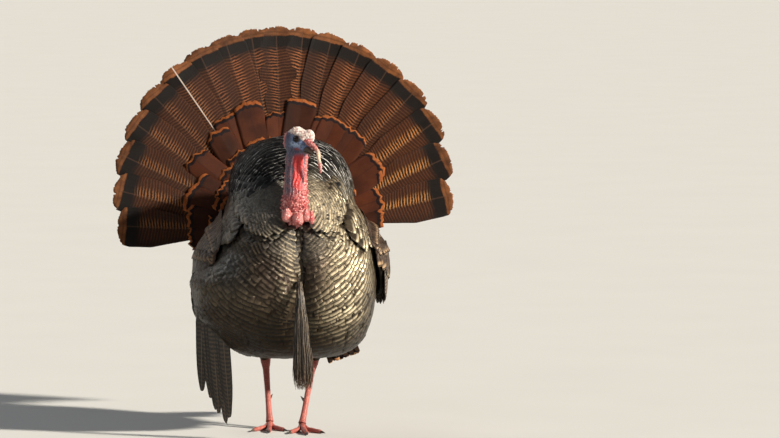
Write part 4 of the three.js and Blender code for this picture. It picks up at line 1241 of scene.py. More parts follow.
def long_marks(rng, count, reach, *others):
    """Marks of long feathers: a random tint, two more or zeros, and the length over MARKED_LENGTH."""
    others = (*others, 0.0, 0.0)[:2]
    levels = (np.full(count, value) for value in others)
    return np.stack([rng.uniform(0, 1, count), *levels, reach / MARKED_LENGTH], -1)


def leaning(degrees, normal, to_back, to_edge):
    """The way of feathers that lie over the wing and lean from the edge's way towards the back."""
    lean = np.radians(degrees)[:, None]
    lie = unit(to_edge * np.cos(lean) + to_back * np.sin(lean))
    return unit(lie - normal * np.sum(lie * normal, -1, keepdims=True))


# Long feathers of a wing: t of their roots, length, width, lean at front and at back, how far out.
LONG_LAYERS = ((0.54, 0.128, 0.036, 8, 44, 0.74), (0.40, 0.085, 0.034, 12, 42, 0.86))


def build_wing(name, wing, finishes):
    """A folded wing: a thin body, rows of coverts that shorten to the shoulder, and long feathers below."""
    rng = np.random.default_rng(50 + wing["side"])
    body = Surfaces()
    s = np.linspace(0.02, 0.98, 46)
    lap = np.concatenate([np.linspace(0.02, 0.97, 24), np.linspace(0.97, 0.02, 24)])
    out = np.concatenate([0.72 - 0.30 * smooth(lap[:24], 0.36, 0.56), np.full(24, 0.06)])
    grid = wing_point(wing, s[:, None], lap[None], out[None])
    body.add_shell(grid, (0, 0, 1, 1), outward=wing["side"])
    body.build(f"wing_{name}_arm", [finishes["downy"]], [f"wing_{name}"])

    rows_s, rows_t, sizes = [], [], []
    tall = wing["top"] - wing["low"]
    t, k = -0.115, 0
    while t < 0.66:
        pitch = 0.0090 + 0.0060 * t
        count = int(0.35 / (pitch * 1.75))
        at = (np.arange(count) + 0.5 * (k % 2) + rng.uniform(-0.1, 0.1, count)) / count
        rows_s.append(0.03 + 0.93 * at)
        rows_t.append(np.full(count, t) + rng.uniform(-0.1, 0.1, count) * pitch / tall)
        sizes.append(np.full(count, pitch))
        t += pitch / tall
        k += 1
    s, t, pitch = (np.concatenate(part) for part in (rows_s, rows_t, sizes))
    point, normal, to_back, to_edge = wing_frame(wing, s, t, 0.92)
    lie = leaning(18 + 22 * s, normal, to_back, to_edge)
    count = len(s)
    tint = np.clip(rng.uniform(0, 1, count) * 0.6 + 0.2 + 0.3 * lumps(point, 0.03, 5), 0, 1)
    # pale gold speckles, more on the left wing (side 1) as painted highlight where the key light falls
    gilt_and_highlight = 0.22 + 0.14 * wing["side"] + 0.5 * smooth(t, 0.45, 0.62) + 0.2 * rng.uniform(0, 1, count)
    marks = np.stack([tint, np.zeros(count), 0.15 * smooth(t, 0.3, 0.6), gilt_and_highlight], -1)
    coat = Surfaces()
    spot = (0.03 + 0.94 * s, 0.16 + 1.20 * t, np.full(count, 0.030), np.full(count, 0.035), np.zeros(count))
    root = point - lie * (pitch * 1.2)[:, None]
    lift = 0.10 + 0.30 * smooth(t, -0.07, -0.02) * (1 - smooth(t, 0.0, 0.08)) * smooth(s, 0.12, 0.32)
    add_feathers(coat, root, lie, normal, pitch * 3.2, pitch * 2.6, marks, spot, lift=lift, bend=0.12,
                 camber=0.12, seed=60, ragged=0.0003)
    coat.build(f"wing_{name}_coverts", [finishes["covert"]])

    long = Surfaces()
    count = 15
    s = np.linspace(0.13, 0.95, count)
    for layer, (t, length, width, lean_front, lean_back, out) in enumerate(LONG_LAYERS):
        point, normal, to_back, to_edge = wing_frame(wing, s, np.full(count, t), out)
        lie = leaning(lean_front + (lean_back - lean_front) * s, normal, to_back, to_edge)
        reach = length * (1 - 0.30 * np.abs(2 * s - 0.9)) * tall / USUAL_TALL
        marks = long_marks(rng, count, reach, float(layer))
        box = atlas(2 * count, 15)
        pick = np.arange(count) + layer * count
        spot = tuple(part[pick] for part in box)
        step_out = (np.arange(count) * 0.00035)[:, None]
        add_feathers(long, point + normal * step_out, lie, normal, reach, width, marks, spot, shape=COVERT,
                     across=7, rows=16, lift=0.02, camber=0.10, seed=70 + layer, twist=0.02, ragged=0.0005)
    long.build(f"wing_{name}_secondaries", [finishes["flight"]])


def build_primaries(name, bunch, finish):
    """Seven long vanes that fan from the wrist, each behind the last, to tips at staggered lengths."""
    count = len(PRIMARY_STAGGER)
    root, tip = np.array(bunch["root"]), np.array(bunch["tip"])
    side_sign = sign_of(name)
    down = unit(tip - root)
    lean = np.radians(bunch["lean"])
    outward = np.array([side_sign * np.cos(lean), -np.sin(lean), 0.0])
    across = unit(np.cross(-down, outward))
    normal = unit(np.cross(across, -down))
    place = np.linspace(-0.5, 0.5, count)
    length = np.linalg.norm(tip - root)
    apart = normal * (np.linspace(-1, 1, count) * 0.0050)[:, None]
    starts = root + across * (place * bunch["width"] * 0.55)[:, None] + apart
    tips = tip + across * (place * (bunch["width"] - 0.024))[:, None] + apart
    tips = tips - down * (length * 0.34 * np.abs(place - 0.22) ** 1.2 + 0.006 + PRIMARY_STAGGER)[:, None]
    lie = unit(tips - starts)
    rng = np.random.default_rng(80 + side_sign)
    reach = np.linalg.norm(tips - starts, axis=-1)
    marks = long_marks(rng, count, reach, 0.5)
    vanes = Surfaces()
    normals = unit(normal - lie * (lie @ normal)[:, None])
    add_feathers(vanes, starts, lie, normals, reach, 0.030, marks, atlas(count, count), shape=FLIGHT,
                 across=9, rows=40, lift=0.0, bend=50.0, camber=0.12, seed=90, twist=0.02, ragged=0.0010,
                 thick=0.0007)
    vanes.build(f"primaries_{name}_vanes", [finish], [f"primaries_{name}"])


# ---- tail ---------------------------------------------------------------------------------
FAN_UP = np.array([0, np.sin(FAN_TILT), np.cos(FAN_TILT)])
FAN_OUT = np.array([0, -np.cos(FAN_TILT), np.sin(FAN_TILT)])


def on_fan(across, up, out):
    """Places in the fan's own plane, brought into the bird's frame."""
    across, up, out = (np.asarray(value, float)[..., None] for value in (across, up, out))
    return TAIL_ROOT + across * np.array([1.0, 0, 0]) + up * FAN_UP + out * FAN_OUT


def shaft_angles():
    """Angles of the shafts from upright: roll + spread s (0.72 + 0.28 |s|), s from -1 to 1 over the fan."""
    s = (np.arange(TAIL_FEATHERS) - (TAIL_FEATHERS - 1) / 2) / ((TAIL_FEATHERS - 1) / 2)
    return np.radians(FAN_ROLL + FAN_SPREAD * s * (FAN_CROWDING + (1 - FAN_CROWDING) * np.abs(s)))


def build_tail(finish):
    """Eighteen broad vanes: each is as wide as the fan's share at that reach, then widens to a round end.

    The length at u across is L - round (1 - (1 - u^2)^(1/2.6)), less the frays and splits of its edge."""
    rng = np.random.default_rng(17)
    angles = shaft_angles()
    tips = FAN_RISE * np.cos(angles) + np.sqrt(FAN_RADIUS ** 2 - (FAN_RISE * np.sin(angles)) ** 2)
    tips = tips + FAN_BULGE * np.exp(-(((np.degrees(angles) - BULGE_ANGLE) / BULGE_SPREAD) ** 2))
    pitch = np.gradient(angles)
    start, free, tip_round, thick = 0.038, 0.185, 0.030, 0.0007
    columns, rows = 45, 50
    w = np.linspace(-1, 1, columns)
    u = np.sign(w) * np.abs(w) ** 1.25
    v = np.linspace(0, 1, rows) ** 0.92
    tail = Surfaces()
    centre = (TAIL_FEATHERS - 1) // 2 + 1
    for i, (angle, length) in enumerate(zip(angles, tips)):
        edge = length - tip_round * (1 - (1 - u ** 2) ** (1 / 2.6))
        wave = np.interp(u, np.linspace(-1, 1, 9), rng.uniform(-0.0020, 0.0012, 9))
        edge = edge + wave + rng.uniform(-0.0022, 0.0006, columns)
        for split in rng.uniform(-0.9, 0.9, 2):
            edge -= rng.uniform(0.002, 0.009) * np.exp(-(((u - split) / 0.030) ** 2))
        reach = start + (edge - start)[None, :] * v[:, None]
        share = pitch[i] / 2
        half = np.minimum(0.046, share * reach - 0.0003 + np.clip(reach - free, 0, None) * 0.11)
        half = half * np.clip(1 - 0.03 * rng.uniform(-1, 1, (1, columns)) * v[:, None] ** 3, 0.9, 1.1)
        x = u[None] * half
        lifted = 0.0026 if i == centre else 0.0
        tilt = np.radians(-np.sign(i - centre) * 5.0)
        ridge = 0.0010 * np.exp(-((x / 0.0016) ** 2)) * (1 - 0.8 * v[:, None])
        droop = -0.020 * np.clip((reach - 0.10) / 0.35, 0, 1) ** 2.2
        ripple = 0.0007 * np.sin(reach * 90 + 3 * np.abs(u)[None] + i) * np.abs(u)[None]
        cupped = 0.0035 * (u[None] ** 2) * v[:, None]
        out = lifted + ridge + ripple - cupped + droop * 0.35 + x * np.tan(tilt)
        across = x * np.cos(angle) + reach * np.sin(angle)
        up = -x * np.sin(angle) + reach * np.cos(angle)
        front, back = on_fan(across, up, out), on_fan(across, up, out - thick)
        points = np.concatenate([front.reshape(-1, 3), back.reshape(-1, 3)])
        faces, flat = sheet_faces(rows, columns)
        down_vane = 1 - (length - reach) / FAN_MAP_LENGTH
        vane = np.stack([np.broadcast_to((u + 1) / 2, reach.shape), down_vane], -1)
        vane = np.tile(vane.reshape(-1, 2), (2, 1))
        laid = np.stack(np.meshgrid((w + 1) / 2, v), -1)
        laid = np.tile(laid.reshape(-1, 2), (2, 1)) * 0.94 + 0.03
        laid = (np.array([i % 9, i // 9]) + laid) / np.array([9, 2])
        # painted shade: feathers on the bird's right side of the fan (angle < 0) get darker, with duller
        # bars, as the body's shadow
        painted_side_shade = smooth(-angle, 0.25, 0.80)
        tint = 1.0 if i == PALE_SHAFT else 0.72 * rng.uniform()
        # how much darker each feather is: partly random tone, partly painted shade
        darker = rng.uniform() * (1 - 0.5 * painted_side_shade) + 0.5 * painted_side_shade
        low = smooth(np.abs(angle), 0.6, 1.2) * (1 - 0.7 * painted_side_shade)
        marks = np.zeros((len(points), 4)) + [tint, float(i < centre), darker, low]
        tail.add(points, faces, {"Vane": vane[faces], "OFBake": laid[faces]}, marks, flat)
    nodes = [f"tail_feather_{i + 1:02d}" for i in range(TAIL_FEATHERS)]
    tail.build("tail_feathers", [finish], nodes)


# Rings of coverts: reach at the top, reach at the sides, how far out of the fan, how many, width.
# Then the angle that the ring reaches on each side, and the radius that its quills start at.
COVERT_RINGS = (
    (0.316, 0.226, 0.0060, 17, 0.070, 87, 0.030),
    (0.230, 0.178, 0.0095, 15, 0.064, 87, 0.030),
    (0.175, 0.148, 0.0130, 14, 0.056, 87, 0.030),
    (0.120, 0.110, 0.0165, 12, 0.048, 87, 0.030),
)
UNDER_RINGS = (
    (0.190, 0.150, -0.0090, 15, 0.050, 87, 0.030),
    (0.155, 0.125, -0.0130, 14, 0.046, 95, 0.030),
    (0.120, 0.100, -0.0170, 14, 0.040, 120, 0.024),
    (0.085, 0.070, -0.0200, 17, 0.036, 170, 0.012),
    (0.050, 0.042, -0.0225, 13, 0.030, 170, 0.004),
)


def build_coverts(name, rings, front, finish, nodes):
    """Rings of shorter feathers over the fan's roots; each lies on the one before and reaches less far."""
    rng = np.random.default_rng(23 if front else 24)
    coat = Surfaces()
    uneven = (-0.10, 0.035) if front else (-0.22, 0.06)
    total = sum(ring[3] for ring in rings)
    box, done = atlas(total, 13), 0
    for k, (top, side, out, count, width, sweep, start) in enumerate(rings):
        s = np.linspace(-1, 1, count) + rng.uniform(-0.45, 0.45, count) / count
        angle = np.radians(FAN_ROLL + sweep * s)
        reach = side + (top - side) * np.clip(np.cos(angle), 0, 1) ** 1.3
        reach = reach * (1 + rng.uniform(*uneven, count))
        layer = out + 0.0010 * np.where(front, 1, -1) * (np.arange(count) % 2)
        root = on_fan(np.sin(angle) * start, np.cos(angle) * start, layer)
        lie = on_fan(np.sin(angle), np.cos(angle), 0 * angle) - TAIL_ROOT
        normal = np.broadcast_to(FAN_OUT * (1 if front else -1), lie.shape)
        pick = np.arange(count) + done
        spot = tuple(part[pick] for part in box)
        done += count
        # painted shade: front coverts on the bird's right side are darker, as the body's shadow
        painted_side_shade = 0.5 * smooth(-angle, 0.25, 0.80) * front
        marks = long_marks(rng, count, reach - start)
        # how much darker each covert is: partly random tone, partly painted shade
        marks[:, 2] = rng.uniform(0, 1, count) ** 1.6 * (1 - painted_side_shade) + painted_side_shade
        wide = width * (0.80 + 0.20 * np.clip(np.cos(angle), 0, 1)) * rng.uniform(0.92, 1.1, count)
        add_feathers(coat, root, lie, normal, reach - start, wide, marks, spot, shape=BROAD, across=11,
                     rows=22, lift=0.006, bend=8.0, camber=0.06, seed=100 + k, twist=0.05, ragged=0.0022,
                     thick=0.0006)
    coat.build(name, [finish], nodes)


# ---- finishes -----------------------------------------------------------------------------
TURN = 6.2832  # a whole turn in radians


class Level:
    """A number or a colour over a surface. Arithmetic on it adds the Math nodes that work it out."""

    def __init__(self, finish, socket):
        self.finish, self.socket = finish, socket

    def math(self, operation, *others):
        return self.finish.add("Math", dict(enumerate((self, *others))), operation=operation)

    def __add__(self, other):
        return self.math("ADD", other)

    def __sub__(self, other):
        return self.math("SUBTRACT", other)

    def __rsub__(self, other):
        return (self - other) * -1.0

    def __mul__(self, other):
        return self.math("MULTIPLY", other)

    def __abs__(self):
        return self.math("ABSOLUTE")

    def sine(self):
        return self.math("SINE")

    def at_least(self, other):
        return self.math("MAXIMUM", other)

    def at_most(self, other):
        return self.math("MINIMUM", other)


class Finish:
    """One node material. Its methods add a node and give its output as a Level."""

    def __init__(self, name, **constants):
        self.material = bpy.data.materials.new(name)
        self.material.use_nodes = True
        self.tree = self.material.node_tree
        self.shader = self.tree.nodes["Principled BSDF"]
        for socket, value in constants.items():
            self.shader.inputs[socket.replace("_", " ")].default_value = value

    def feed(self, socket, value):
        if isinstance(value, Level):
            self.tree.links.new(value.socket, socket)
        elif isinstance(value, tuple):
            socket.default_value = (*value, 1.0)
        else:
            socket.default_value = value

    def paint(self, **sockets):
        for name, value in sockets.items():
            self.feed(self.shader.inputs[name.replace("_", " ")], value)
        return self.material

    def node(self, kind, inputs=(), **settings):
        node = self.tree.nodes.new("ShaderNode" + kind)
        for key, value in settings.items():
            setattr(node, key, value)
        for key, value in dict(inputs).items():
            self.feed(node.inputs[key], value)
        return node.outputs

    def add(self, kind, inputs=(), out=0, **settings):
        return Level(self, self.node(kind, inputs, **settings)[out])

    def mix(self, share, a, b):
        return self.add("Mix", {0: share, 6: a, 7: b}, out=2, data_type="RGBA")

    def between(self, value, low, high):
        """0 to 1 as value goes from low to high, with soft ends."""
        return self.add("MapRange", {0: value, 1: low, 2: high}, interpolation_type="SMOOTHSTEP")

    def place(self):
        return self.add("TexCoord", out=3)

    def noise(self, scale, detail=2.0):
        return self.add("TexNoise", {"Vector": self.place(), "Scale": scale, "Detail": detail})

    def cells(self, scale, feature="F1"):
        """Distance from the middle, or with DISTANCE_TO_EDGE from the edge, of random cells."""
        return self.add("TexVoronoi", {"Vector": self.place(), "Scale": scale}, feature=feature)

    def parts(self, kind, level):
        """The separate numbers that a colour or a place holds."""
        return [Level(self, part) for part in self.node(kind, {0: level})]

    def vane(self):
        """u across and v along the vane, from its own map."""
        return self.parts("SeparateXYZ", self.add("UVMap", uv_map="Vane"))[:2]

    def marks(self, name="marks"):
        """The four marks that every point carries."""
        carried = self.node("Attribute", attribute_name=name)
        colour = Level(self, carried["Color"])
        return *self.parts("SeparateColor", colour), Level(self, carried["Alpha"])

    def bump(self, height, distance, strength=1.0):
        return self.add("Bump", {"Strength": strength, "Distance": distance, "Height": height})


def barbs(u, v, count):
    """Fine ridges that run out from the shaft and towards the tip: a sine of v - 0.35 |2u - 1|."""
    out = abs(u * 2.0 - 1.0)
    slant = out * -0.35 + v
    return (slant * (TURN * count)).sine(), out


def plumage(name, dark, light, edge, sheen, band=0.12, pale=(0.95, 0.80, 0.54), roughness=0.42,
            metallic=0.25):
    """Contour feathers: a ground between dark and light, a bright zone, then a dark edge with a pale rim.

    marks are a random tint, how grey-edged (mantle), how dark (the darker belly, plus painted shade on the
    side away from the key light) and how pale-edged (pale edges plus painted highlight);
    more are how much painted shade falls in crevices, how near the neck (cape), how much painted blue-grey
    sky reflection, and how rosy."""
    f = Finish(name)
    u, v = f.vane()
    tint, mantle, belly, gilt_and_highlight = f.marks()
    crevice_shade, cape, sky_sheen, rosy = f.marks("more")
    ridges, out = barbs(u, v, 26)
    cloud, fine = f.noise(11.0, 3.0), f.noise(260.0, 2.0)
    at = v + f.noise(420.0, 1.0) * 0.06 - 0.03
    ground = f.mix(cloud * 1.6 + tint * 0.9 - 0.85, dark, light)
    # painted sky reflection: the ground turns blue-grey
    ground = f.mix(sky_sheen * 0.75, ground, f.mix(tint, (0.055, 0.062, 0.062), (0.125, 0.135, 0.130)))
    ground = f.mix(rosy * 0.6, ground, f.mix(tint, (0.045, 0.028, 0.026), (0.110, 0.070, 0.062)))
    ground = f.mix(cape * 0.55, ground, f.mix(tint, (0.100, 0.097, 0.087), (0.250, 0.240, 0.212)))
    # painted shade: the bronze band is dimmed under the blue-grey and rosy marks, which lie mostly on the
    # shaded bird's right side
    sheen_dimmed_in_shade = sky_sheen.at_least(rosy) * -0.55 + 0.75
    ground = f.mix(f.between(at, 0.60, 1 - band * 1.3) * sheen_dimmed_in_shade, ground, f.mix(0.5, ground, sheen))
    # darker towards the belly, and painted shade on the side away from the key light
    ground = f.mix(belly * 0.94, ground, f.mix(tint, (0.006, 0.0038, 0.0021), (0.029, 0.0185, 0.0092)))
    ground = f.mix(mantle * 0.97, ground, (0.003, 0.003, 0.0035))
    ground = f.mix(f.between(out, 0.09, 0.02) * 0.35, ground, edge)
    # the dark lines are softened on the cape, and as painted shade under the blue-grey and rosy marks
    soft = cape.at_least(rosy.at_least(sky_sheen) * 0.7)
    line = f.between(at, 1 - band, 1 - band * 0.75) * (soft * -0.75 + 1.0)
    coloured = f.mix(line, ground, edge)
    # pale rims on the black mantle: partly the feathers' own pale edges, partly painted highlight
    rim = f.between(at, 0.945, 0.965)
    broken = f.noise(75.0, 2.0) * 3.2 + tint * 1.4 - 1.95
    shown = rim * mantle * broken.at_least(0.06).at_most(1.0)
    coloured = f.mix(shown, coloured, (0.84, 0.82, 0.78))
    bright = f.between(at, 1 - band * 3.2, 1 - band * 1.5)
    bright = bright * f.between(at, 1 - band * 0.75, 1 - band)
    # pale gold edges, partly painted highlight
    coloured = f.mix(bright.at_least(rim * 0.6) * gilt_and_highlight, coloured, pale)
    coloured = f.mix(fine * 0.5 - 0.12, coloured, edge)
    # painted shade: near-black in the crevices under the lobes and along the parting
    coloured = f.mix(crevice_shade * 0.9, coloured, (0.003, 0.0025, 0.002))
    rough = fine * 0.25 + cape * 0.10 + roughness - 0.12
    shiny = (belly * -0.85 + 1.0) * (mantle * -0.85 + 1.0)
    return f.paint(Base_Color=coloured, Roughness=rough, Normal=f.bump(ridges, 0.0002, 0.5),
                   Metallic=shiny * metallic, Specular_IOR_Level=shiny * 0.36)


def barred_vane(name, dark, bar, pitch, covert_bar, tip):
    """Flight feathers: bars square to the shaft, whose spacing is in metres, and a plain tip.

    marks: tint, layer (0 long, 1 covert), nothing, length over MARKED_LENGTH."""
    f = Finish(name)
    u, v = f.vane()
    tint, layer, _, length = f.marks()
    ridges, out = barbs(u, v, 60)
    metres = v * length * MARKED_LENGTH
    slant = out * -0.004 + metres + tint * (pitch * 2.5)
    slant = slant + f.noise(70.0, 2.0) * 0.006 - 0.003
    wave = (slant * (TURN / pitch)).sine()
    bars = f.between(wave, -0.10, 0.30)
    fine = f.noise(300.0, 2.0)
    paler = f.mix(f.between(layer, 0.6, 0.9), bar, covert_bar)
    paler = f.mix(tint * 0.45, paler, dark)
    coloured = f.mix(bars, dark, paler)
    coloured = f.mix(f.between(v, 0.90, 0.97) * f.between(layer, 0.6, 0.9), coloured, tip)
    # painted shade between overlapping feathers: the vane's outer edges go dark
    coloured = f.mix(f.between(out, 0.74, 0.95), coloured, f.mix(0.6, dark, (0.002, 0.0015, 0.001)))
    coloured = f.mix(f.between(out, 0.08, 0.03), coloured, (0.14, 0.10, 0.065))
    coloured = f.mix(fine * 0.6 - 0.1, coloured, dark)
    return f.paint(Base_Color=coloured, Roughness=tint * 0.15 + 0.42, Normal=f.bump(ridges, 0.0002, 0.5))


def fan_vane(name):
    """Tail feathers from the tip in: cinnamon, a thin line, a near-black band, then chestnut bars on brown.

    The Vane map's v is 1 - distance from the tip / FAN_MAP_LENGTH."""
    f = Finish(name, Specular_IOR_Level=0.14)
    u, v = f.vane()
    tint, left, other, low = f.marks()
    ridges, out = barbs(u, v, 240)
    depth = (1.0 - v) * FAN_MAP_LENGTH
    wander = f.noise(26.0, 3.0) * 0.012 - 0.006
    tremor = f.noise(260.0, 2.0) * 0.0034 - 0.0017
    deep = depth + wander + tremor
    slanted = out * 0.007 + deep + other * 0.01
    wave = (slanted * (TURN / BAR_PITCH)).sine()
    bars = f.between(wave, 0.05, 0.65)
    across = left * u + (1.0 - left) * (1.0 - u)
    near_shaft = f.between(across, 0.44, 0.52) * f.between(across, 0.80, 0.60)
    cloud = f.noise(14.0, 3.0)
    ground = f.mix(cloud, (0.024, 0.008, 0.004), (0.060, 0.019, 0.007))
    dull = f.mix(tint, (0.100, 0.033, 0.011), (0.165, 0.053, 0.017))
    bright = f.mix(low * 0.8, f.mix(tint, (0.30, 0.092, 0.026), (0.42, 0.150, 0.048)), (0.74, 0.34, 0.10))
    shade = f.mix(near_shaft, ground, f.mix(cloud, (0.009, 0.004, 0.002), (0.032, 0.011, 0.005)))
    field = f.mix(bars, shade, f.mix(near_shaft, dull, bright))
    # darker per feather (partly random tone, partly painted shade) and painted shade along the edge of each
    # vane that lies under its neighbour
    field = f.mix(other * 0.62 + f.between(across, 0.30, 0.02) * 0.35, field, (0.012, 0.005, 0.003))
    inner = f.between(deep, 0.044, 0.066)
    coloured = f.mix(inner, (0.007, 0.005, 0.004), field)
    rust = f.mix(f.noise(60.0, 3.0) * 1.6 + tint * 0.5 - 0.60,
                 (0.070, 0.024, 0.009), (0.31, 0.112, 0.036))
    coloured = f.mix(f.between(deep, 0.0240, 0.0205), coloured, rust)
    line = f.between(deep, 0.0115, 0.0130) * f.between(deep, 0.0170, 0.0150)
    coloured = f.mix(line * 0.45, coloured, (0.06, 0.024, 0.010))
    coloured = f.mix(f.between(depth, 0.0035, 0.0005), coloured, (0.40, 0.20, 0.085))
    shaft = f.between(out, 0.040, 0.020)
    white = f.between(tint, 0.75, 0.95)
    pale_shaft = f.mix(white, (0.11, 0.055, 0.032), (0.70, 0.60, 0.52))
    coloured = f.mix(shaft * (white * 0.5 + 0.4), coloured, pale_shaft)
    coloured = f.mix(f.noise(500.0, 2.0) * 0.6 - 0.18, coloured, (0.012, 0.007, 0.005))
    return f.paint(Base_Color=coloured, Roughness=cloud * 0.2 + 0.48, Normal=f.bump(ridges, 0.0003, 0.6))


def covert_vane(name, field_low, field_high, tip_low, tip_high, tip_depth, band_depth):
    """Tail coverts: a plain field, a thin black band, then a broad bright tip."""
    f = Finish(name, Specular_IOR_Level=0.07)
    u, v = f.vane()
    tint, _, other, length = f.marks()
    ridges, out = barbs(u, v, 90)
    depth = (1.0 - v) * length * MARKED_LENGTH
    deep = depth + f.noise(90.0, 3.0) * 0.012 - 0.004
    deep = tint * 0.008 + deep
    cloud = f.noise(22.0, 4.0)
    field = f.mix(cloud * 1.3 + tint * 0.5 - 0.45, field_low, field_high)
    # darker per covert: partly random tone, partly painted shade between the layered coverts
    field = f.mix(other * 0.70, field, (0.014, 0.005, 0.003))
    tip = f.mix(f.noise(160.0, 3.0) * 0.8 + tint * 0.4 - 0.2, tip_low, tip_high)
    band = f.between(deep, tip_depth + band_depth, tip_depth + band_depth * 0.8)
    coloured = f.mix(band, field, (0.010, 0.007, 0.008))
    coloured = f.mix(f.between(deep, tip_depth * 1.1, tip_depth * 0.9), coloured, tip)
    coloured = f.mix(f.between(out, 0.06, 0.02) * 0.4, coloured, (0.03, 0.012, 0.008))
    coloured = f.mix(f.noise(480.0, 2.0) * 0.5 - 0.12, coloured, (0.02, 0.010, 0.006))
    return f.paint(Base_Color=coloured, Roughness=cloud * 0.2 + 0.46, Normal=f.bump(ridges, 0.0003, 0.6))


def bare_skin(name):
    """White crown, blue face, red throat and pink warts with pale tops and dark creases, by the marks on the
    skin; the pale tops are partly painted highlight and the creases partly painted shade.
    """
    f = Finish(name, Subsurface_Weight=0.03, Subsurface_Scale=0.0015, Specular_IOR_Level=0.5)
    crown, face, throat, warty = f.marks()
    dark_ring, cheek, pale, gape = f.marks("more")
    big, small, tiny = f.noise(70.0, 3.0), f.noise(240.0, 3.0), f.noise(700.0, 2.0)
    wart, bead = f.cells(185.0), f.cells(430.0)
    # pale wart tops and dark creases: partly the skin's own colour, partly painted highlight on the tops and
    # painted shade in the creases
    top, crease = f.between(wart, 0.42, 0.12), f.between(wart, 0.46, 0.72)
    bead_top = f.between(bead, 0.50, 0.15)
    grey = f.mix(bead_top, (0.105, 0.075, 0.105), (0.30, 0.22, 0.28))
    grey = f.mix(f.between(big, 0.50, 0.66) * 0.6, grey, (0.42, 0.13, 0.14))
    pink = f.mix(big * 2.4 - 0.7, (0.46, 0.072, 0.070), (0.64, 0.26, 0.24))
    pink = f.mix(top * f.between(small, 0.36, 0.54), pink, (0.86, 0.65, 0.60))
    lumpy = crease * (cheek * -0.75 + 0.80)
    pink = f.mix(lumpy, pink, (0.22, 0.010, 0.016))
    coloured = f.mix(warty, grey, pink)
    red = f.mix(small, (0.52, 0.016, 0.018), (0.78, 0.070, 0.060))
    red = f.mix(f.between(bead, 0.30, 0.05) * 0.5, red, (0.90, 0.30, 0.26))
    coloured = f.mix(throat, coloured, red)
    blue = f.mix(big * 1.8 - 0.4, (0.055, 0.085, 0.200), (0.17, 0.25, 0.44))
    blue = f.mix(pale * 0.9, blue, f.mix(small, (0.26, 0.40, 0.64), (0.62, 0.74, 0.90)))
    blue = f.mix(f.between(small, 0.53, 0.62) * 0.8, blue, (0.030, 0.026, 0.070))
    blue = f.mix(cheek * 0.8, blue, f.mix(bead_top, (0.050, 0.045, 0.070), (0.16, 0.13, 0.17)))
    coloured = f.mix(face, coloured, blue)
    coloured = f.mix(gape * face, coloured, (0.34, 0.05, 0.05))
    white = f.mix(big * 2.4 - 0.7, (0.80, 0.60, 0.54), (0.96, 0.93, 0.86))
    # dark creases on the white crown, partly painted shade
    white = f.mix(crease * 0.75, white, (0.40, 0.17, 0.14))
    coloured = f.mix(crown, coloured, white)
    yellow = pale * warty * (1.0 - face)
    coloured = f.mix(yellow, coloured, f.mix(small, (0.80, 0.62, 0.34), (0.92, 0.86, 0.74)))
    coloured = f.mix(dark_ring, coloured, (0.007, 0.005, 0.006))
    coloured = f.mix(tiny * 0.5 - 0.15, coloured, f.mix(warty, (0.06, 0.05, 0.07), (0.40, 0.04, 0.04)))
    height = tiny * 0.4 + small + bead_top * 0.8 + top
    return f.paint(Base_Color=coloured, Roughness=small * 0.25 + 0.26, Normal=f.bump(height, 0.0012, 0.7))


def leg_scales(name):
    """Small pale-centred scales with darker lines between them."""
    f = Finish(name, Specular_IOR_Level=0.5)
    big, small = f.noise(60.0, 3.0), f.noise(420.0, 3.0)
    coloured = f.mix(big * 2.0 - 0.5, (0.34, 0.060, 0.045), (0.56, 0.165, 0.125))
    cells = f.cells(420.0, "DISTANCE_TO_EDGE")
    coloured = f.mix(f.between(cells, 0.10, 0.02), coloured, (0.22, 0.06, 0.05))
    coloured = f.mix(f.between(small, 0.55, 0.75) * 0.5, coloured, (0.72, 0.45, 0.40))
    height = f.between(cells, 0.0, 0.12) * 0.8 + small
    return f.paint(Base_Color=coloured, Roughness=small * 0.3 + 0.30, Normal=f.bump(height, 0.0006, 0.6))


def downy(name, colour):
    """A dull dark ground under the feathers."""
    f = Finish(name, Specular_IOR_Level=0.1)
    fine = f.noise(300.0, 3.0)
    coloured = f.mix(fine, tuple(0.5 * c for c in colour), colour)
    return f.paint(Base_Color=coloured, Roughness=fine * 0.2 + 0.7, Normal=f.bump(fine, 0.001, 0.5))


def horn(name, root, tip):
    """Horn that changes from root to tip along the first mark, with fine growth lines."""
    f = Finish(name, Specular_IOR_Level=0.55)
    along = f.marks()[0]
    streak = f.noise(260.0, 3.0)
    lines = (along * 90.0 + streak * 4.0).sine()
    coloured = f.mix(streak * 0.5 + along - 0.25, root, tip)
    return f.paint(Base_Color=coloured, Roughness=streak * 0.25 + 0.26, Normal=f.bump(lines, 0.0001, 0.4))


def eye_wet(name):
    """A dark pupil, a brown iris and a near-black rim, by the angle from the way that the eye looks."""
    f = Finish(name, Roughness=0.04, Specular_IOR_Level=0.22)
    angle = f.marks()[0]
    fleck = f.noise(900.0, 3.0)
    iris = f.mix(fleck, (0.005, 0.002, 0.001), (0.020, 0.008, 0.003))
    coloured = f.mix(f.between(angle, 0.125, 0.140), (0.002, 0.002, 0.002), iris)
    coloured = f.mix(f.between(angle, 0.215, 0.245), coloured, (0.006, 0.004, 0.004))
    return f.paint(Base_Color=coloured)


def bristle(name):
    """Near-black bristles streaked with brown, more rusty towards their tips."""
    f = Finish(name, Specular_IOR_Level=0.5)
    _, v = f.vane()
    tint = f.marks()[0]
    streak = f.noise(120.0, 3.0)
    coloured = f.mix(tint * 1.7 + streak * 0.6 - 1.1, (0.006, 0.0045, 0.0035), (0.28, 0.215, 0.155))
    coloured = f.mix(f.between(v, 0.8, 1.0) * 0.5, coloured, (0.16, 0.085, 0.04))
    return f.paint(Base_Color=coloured, Roughness=streak * 0.2 + 0.42, Normal=f.bump(streak, 0.0003, 0.4))


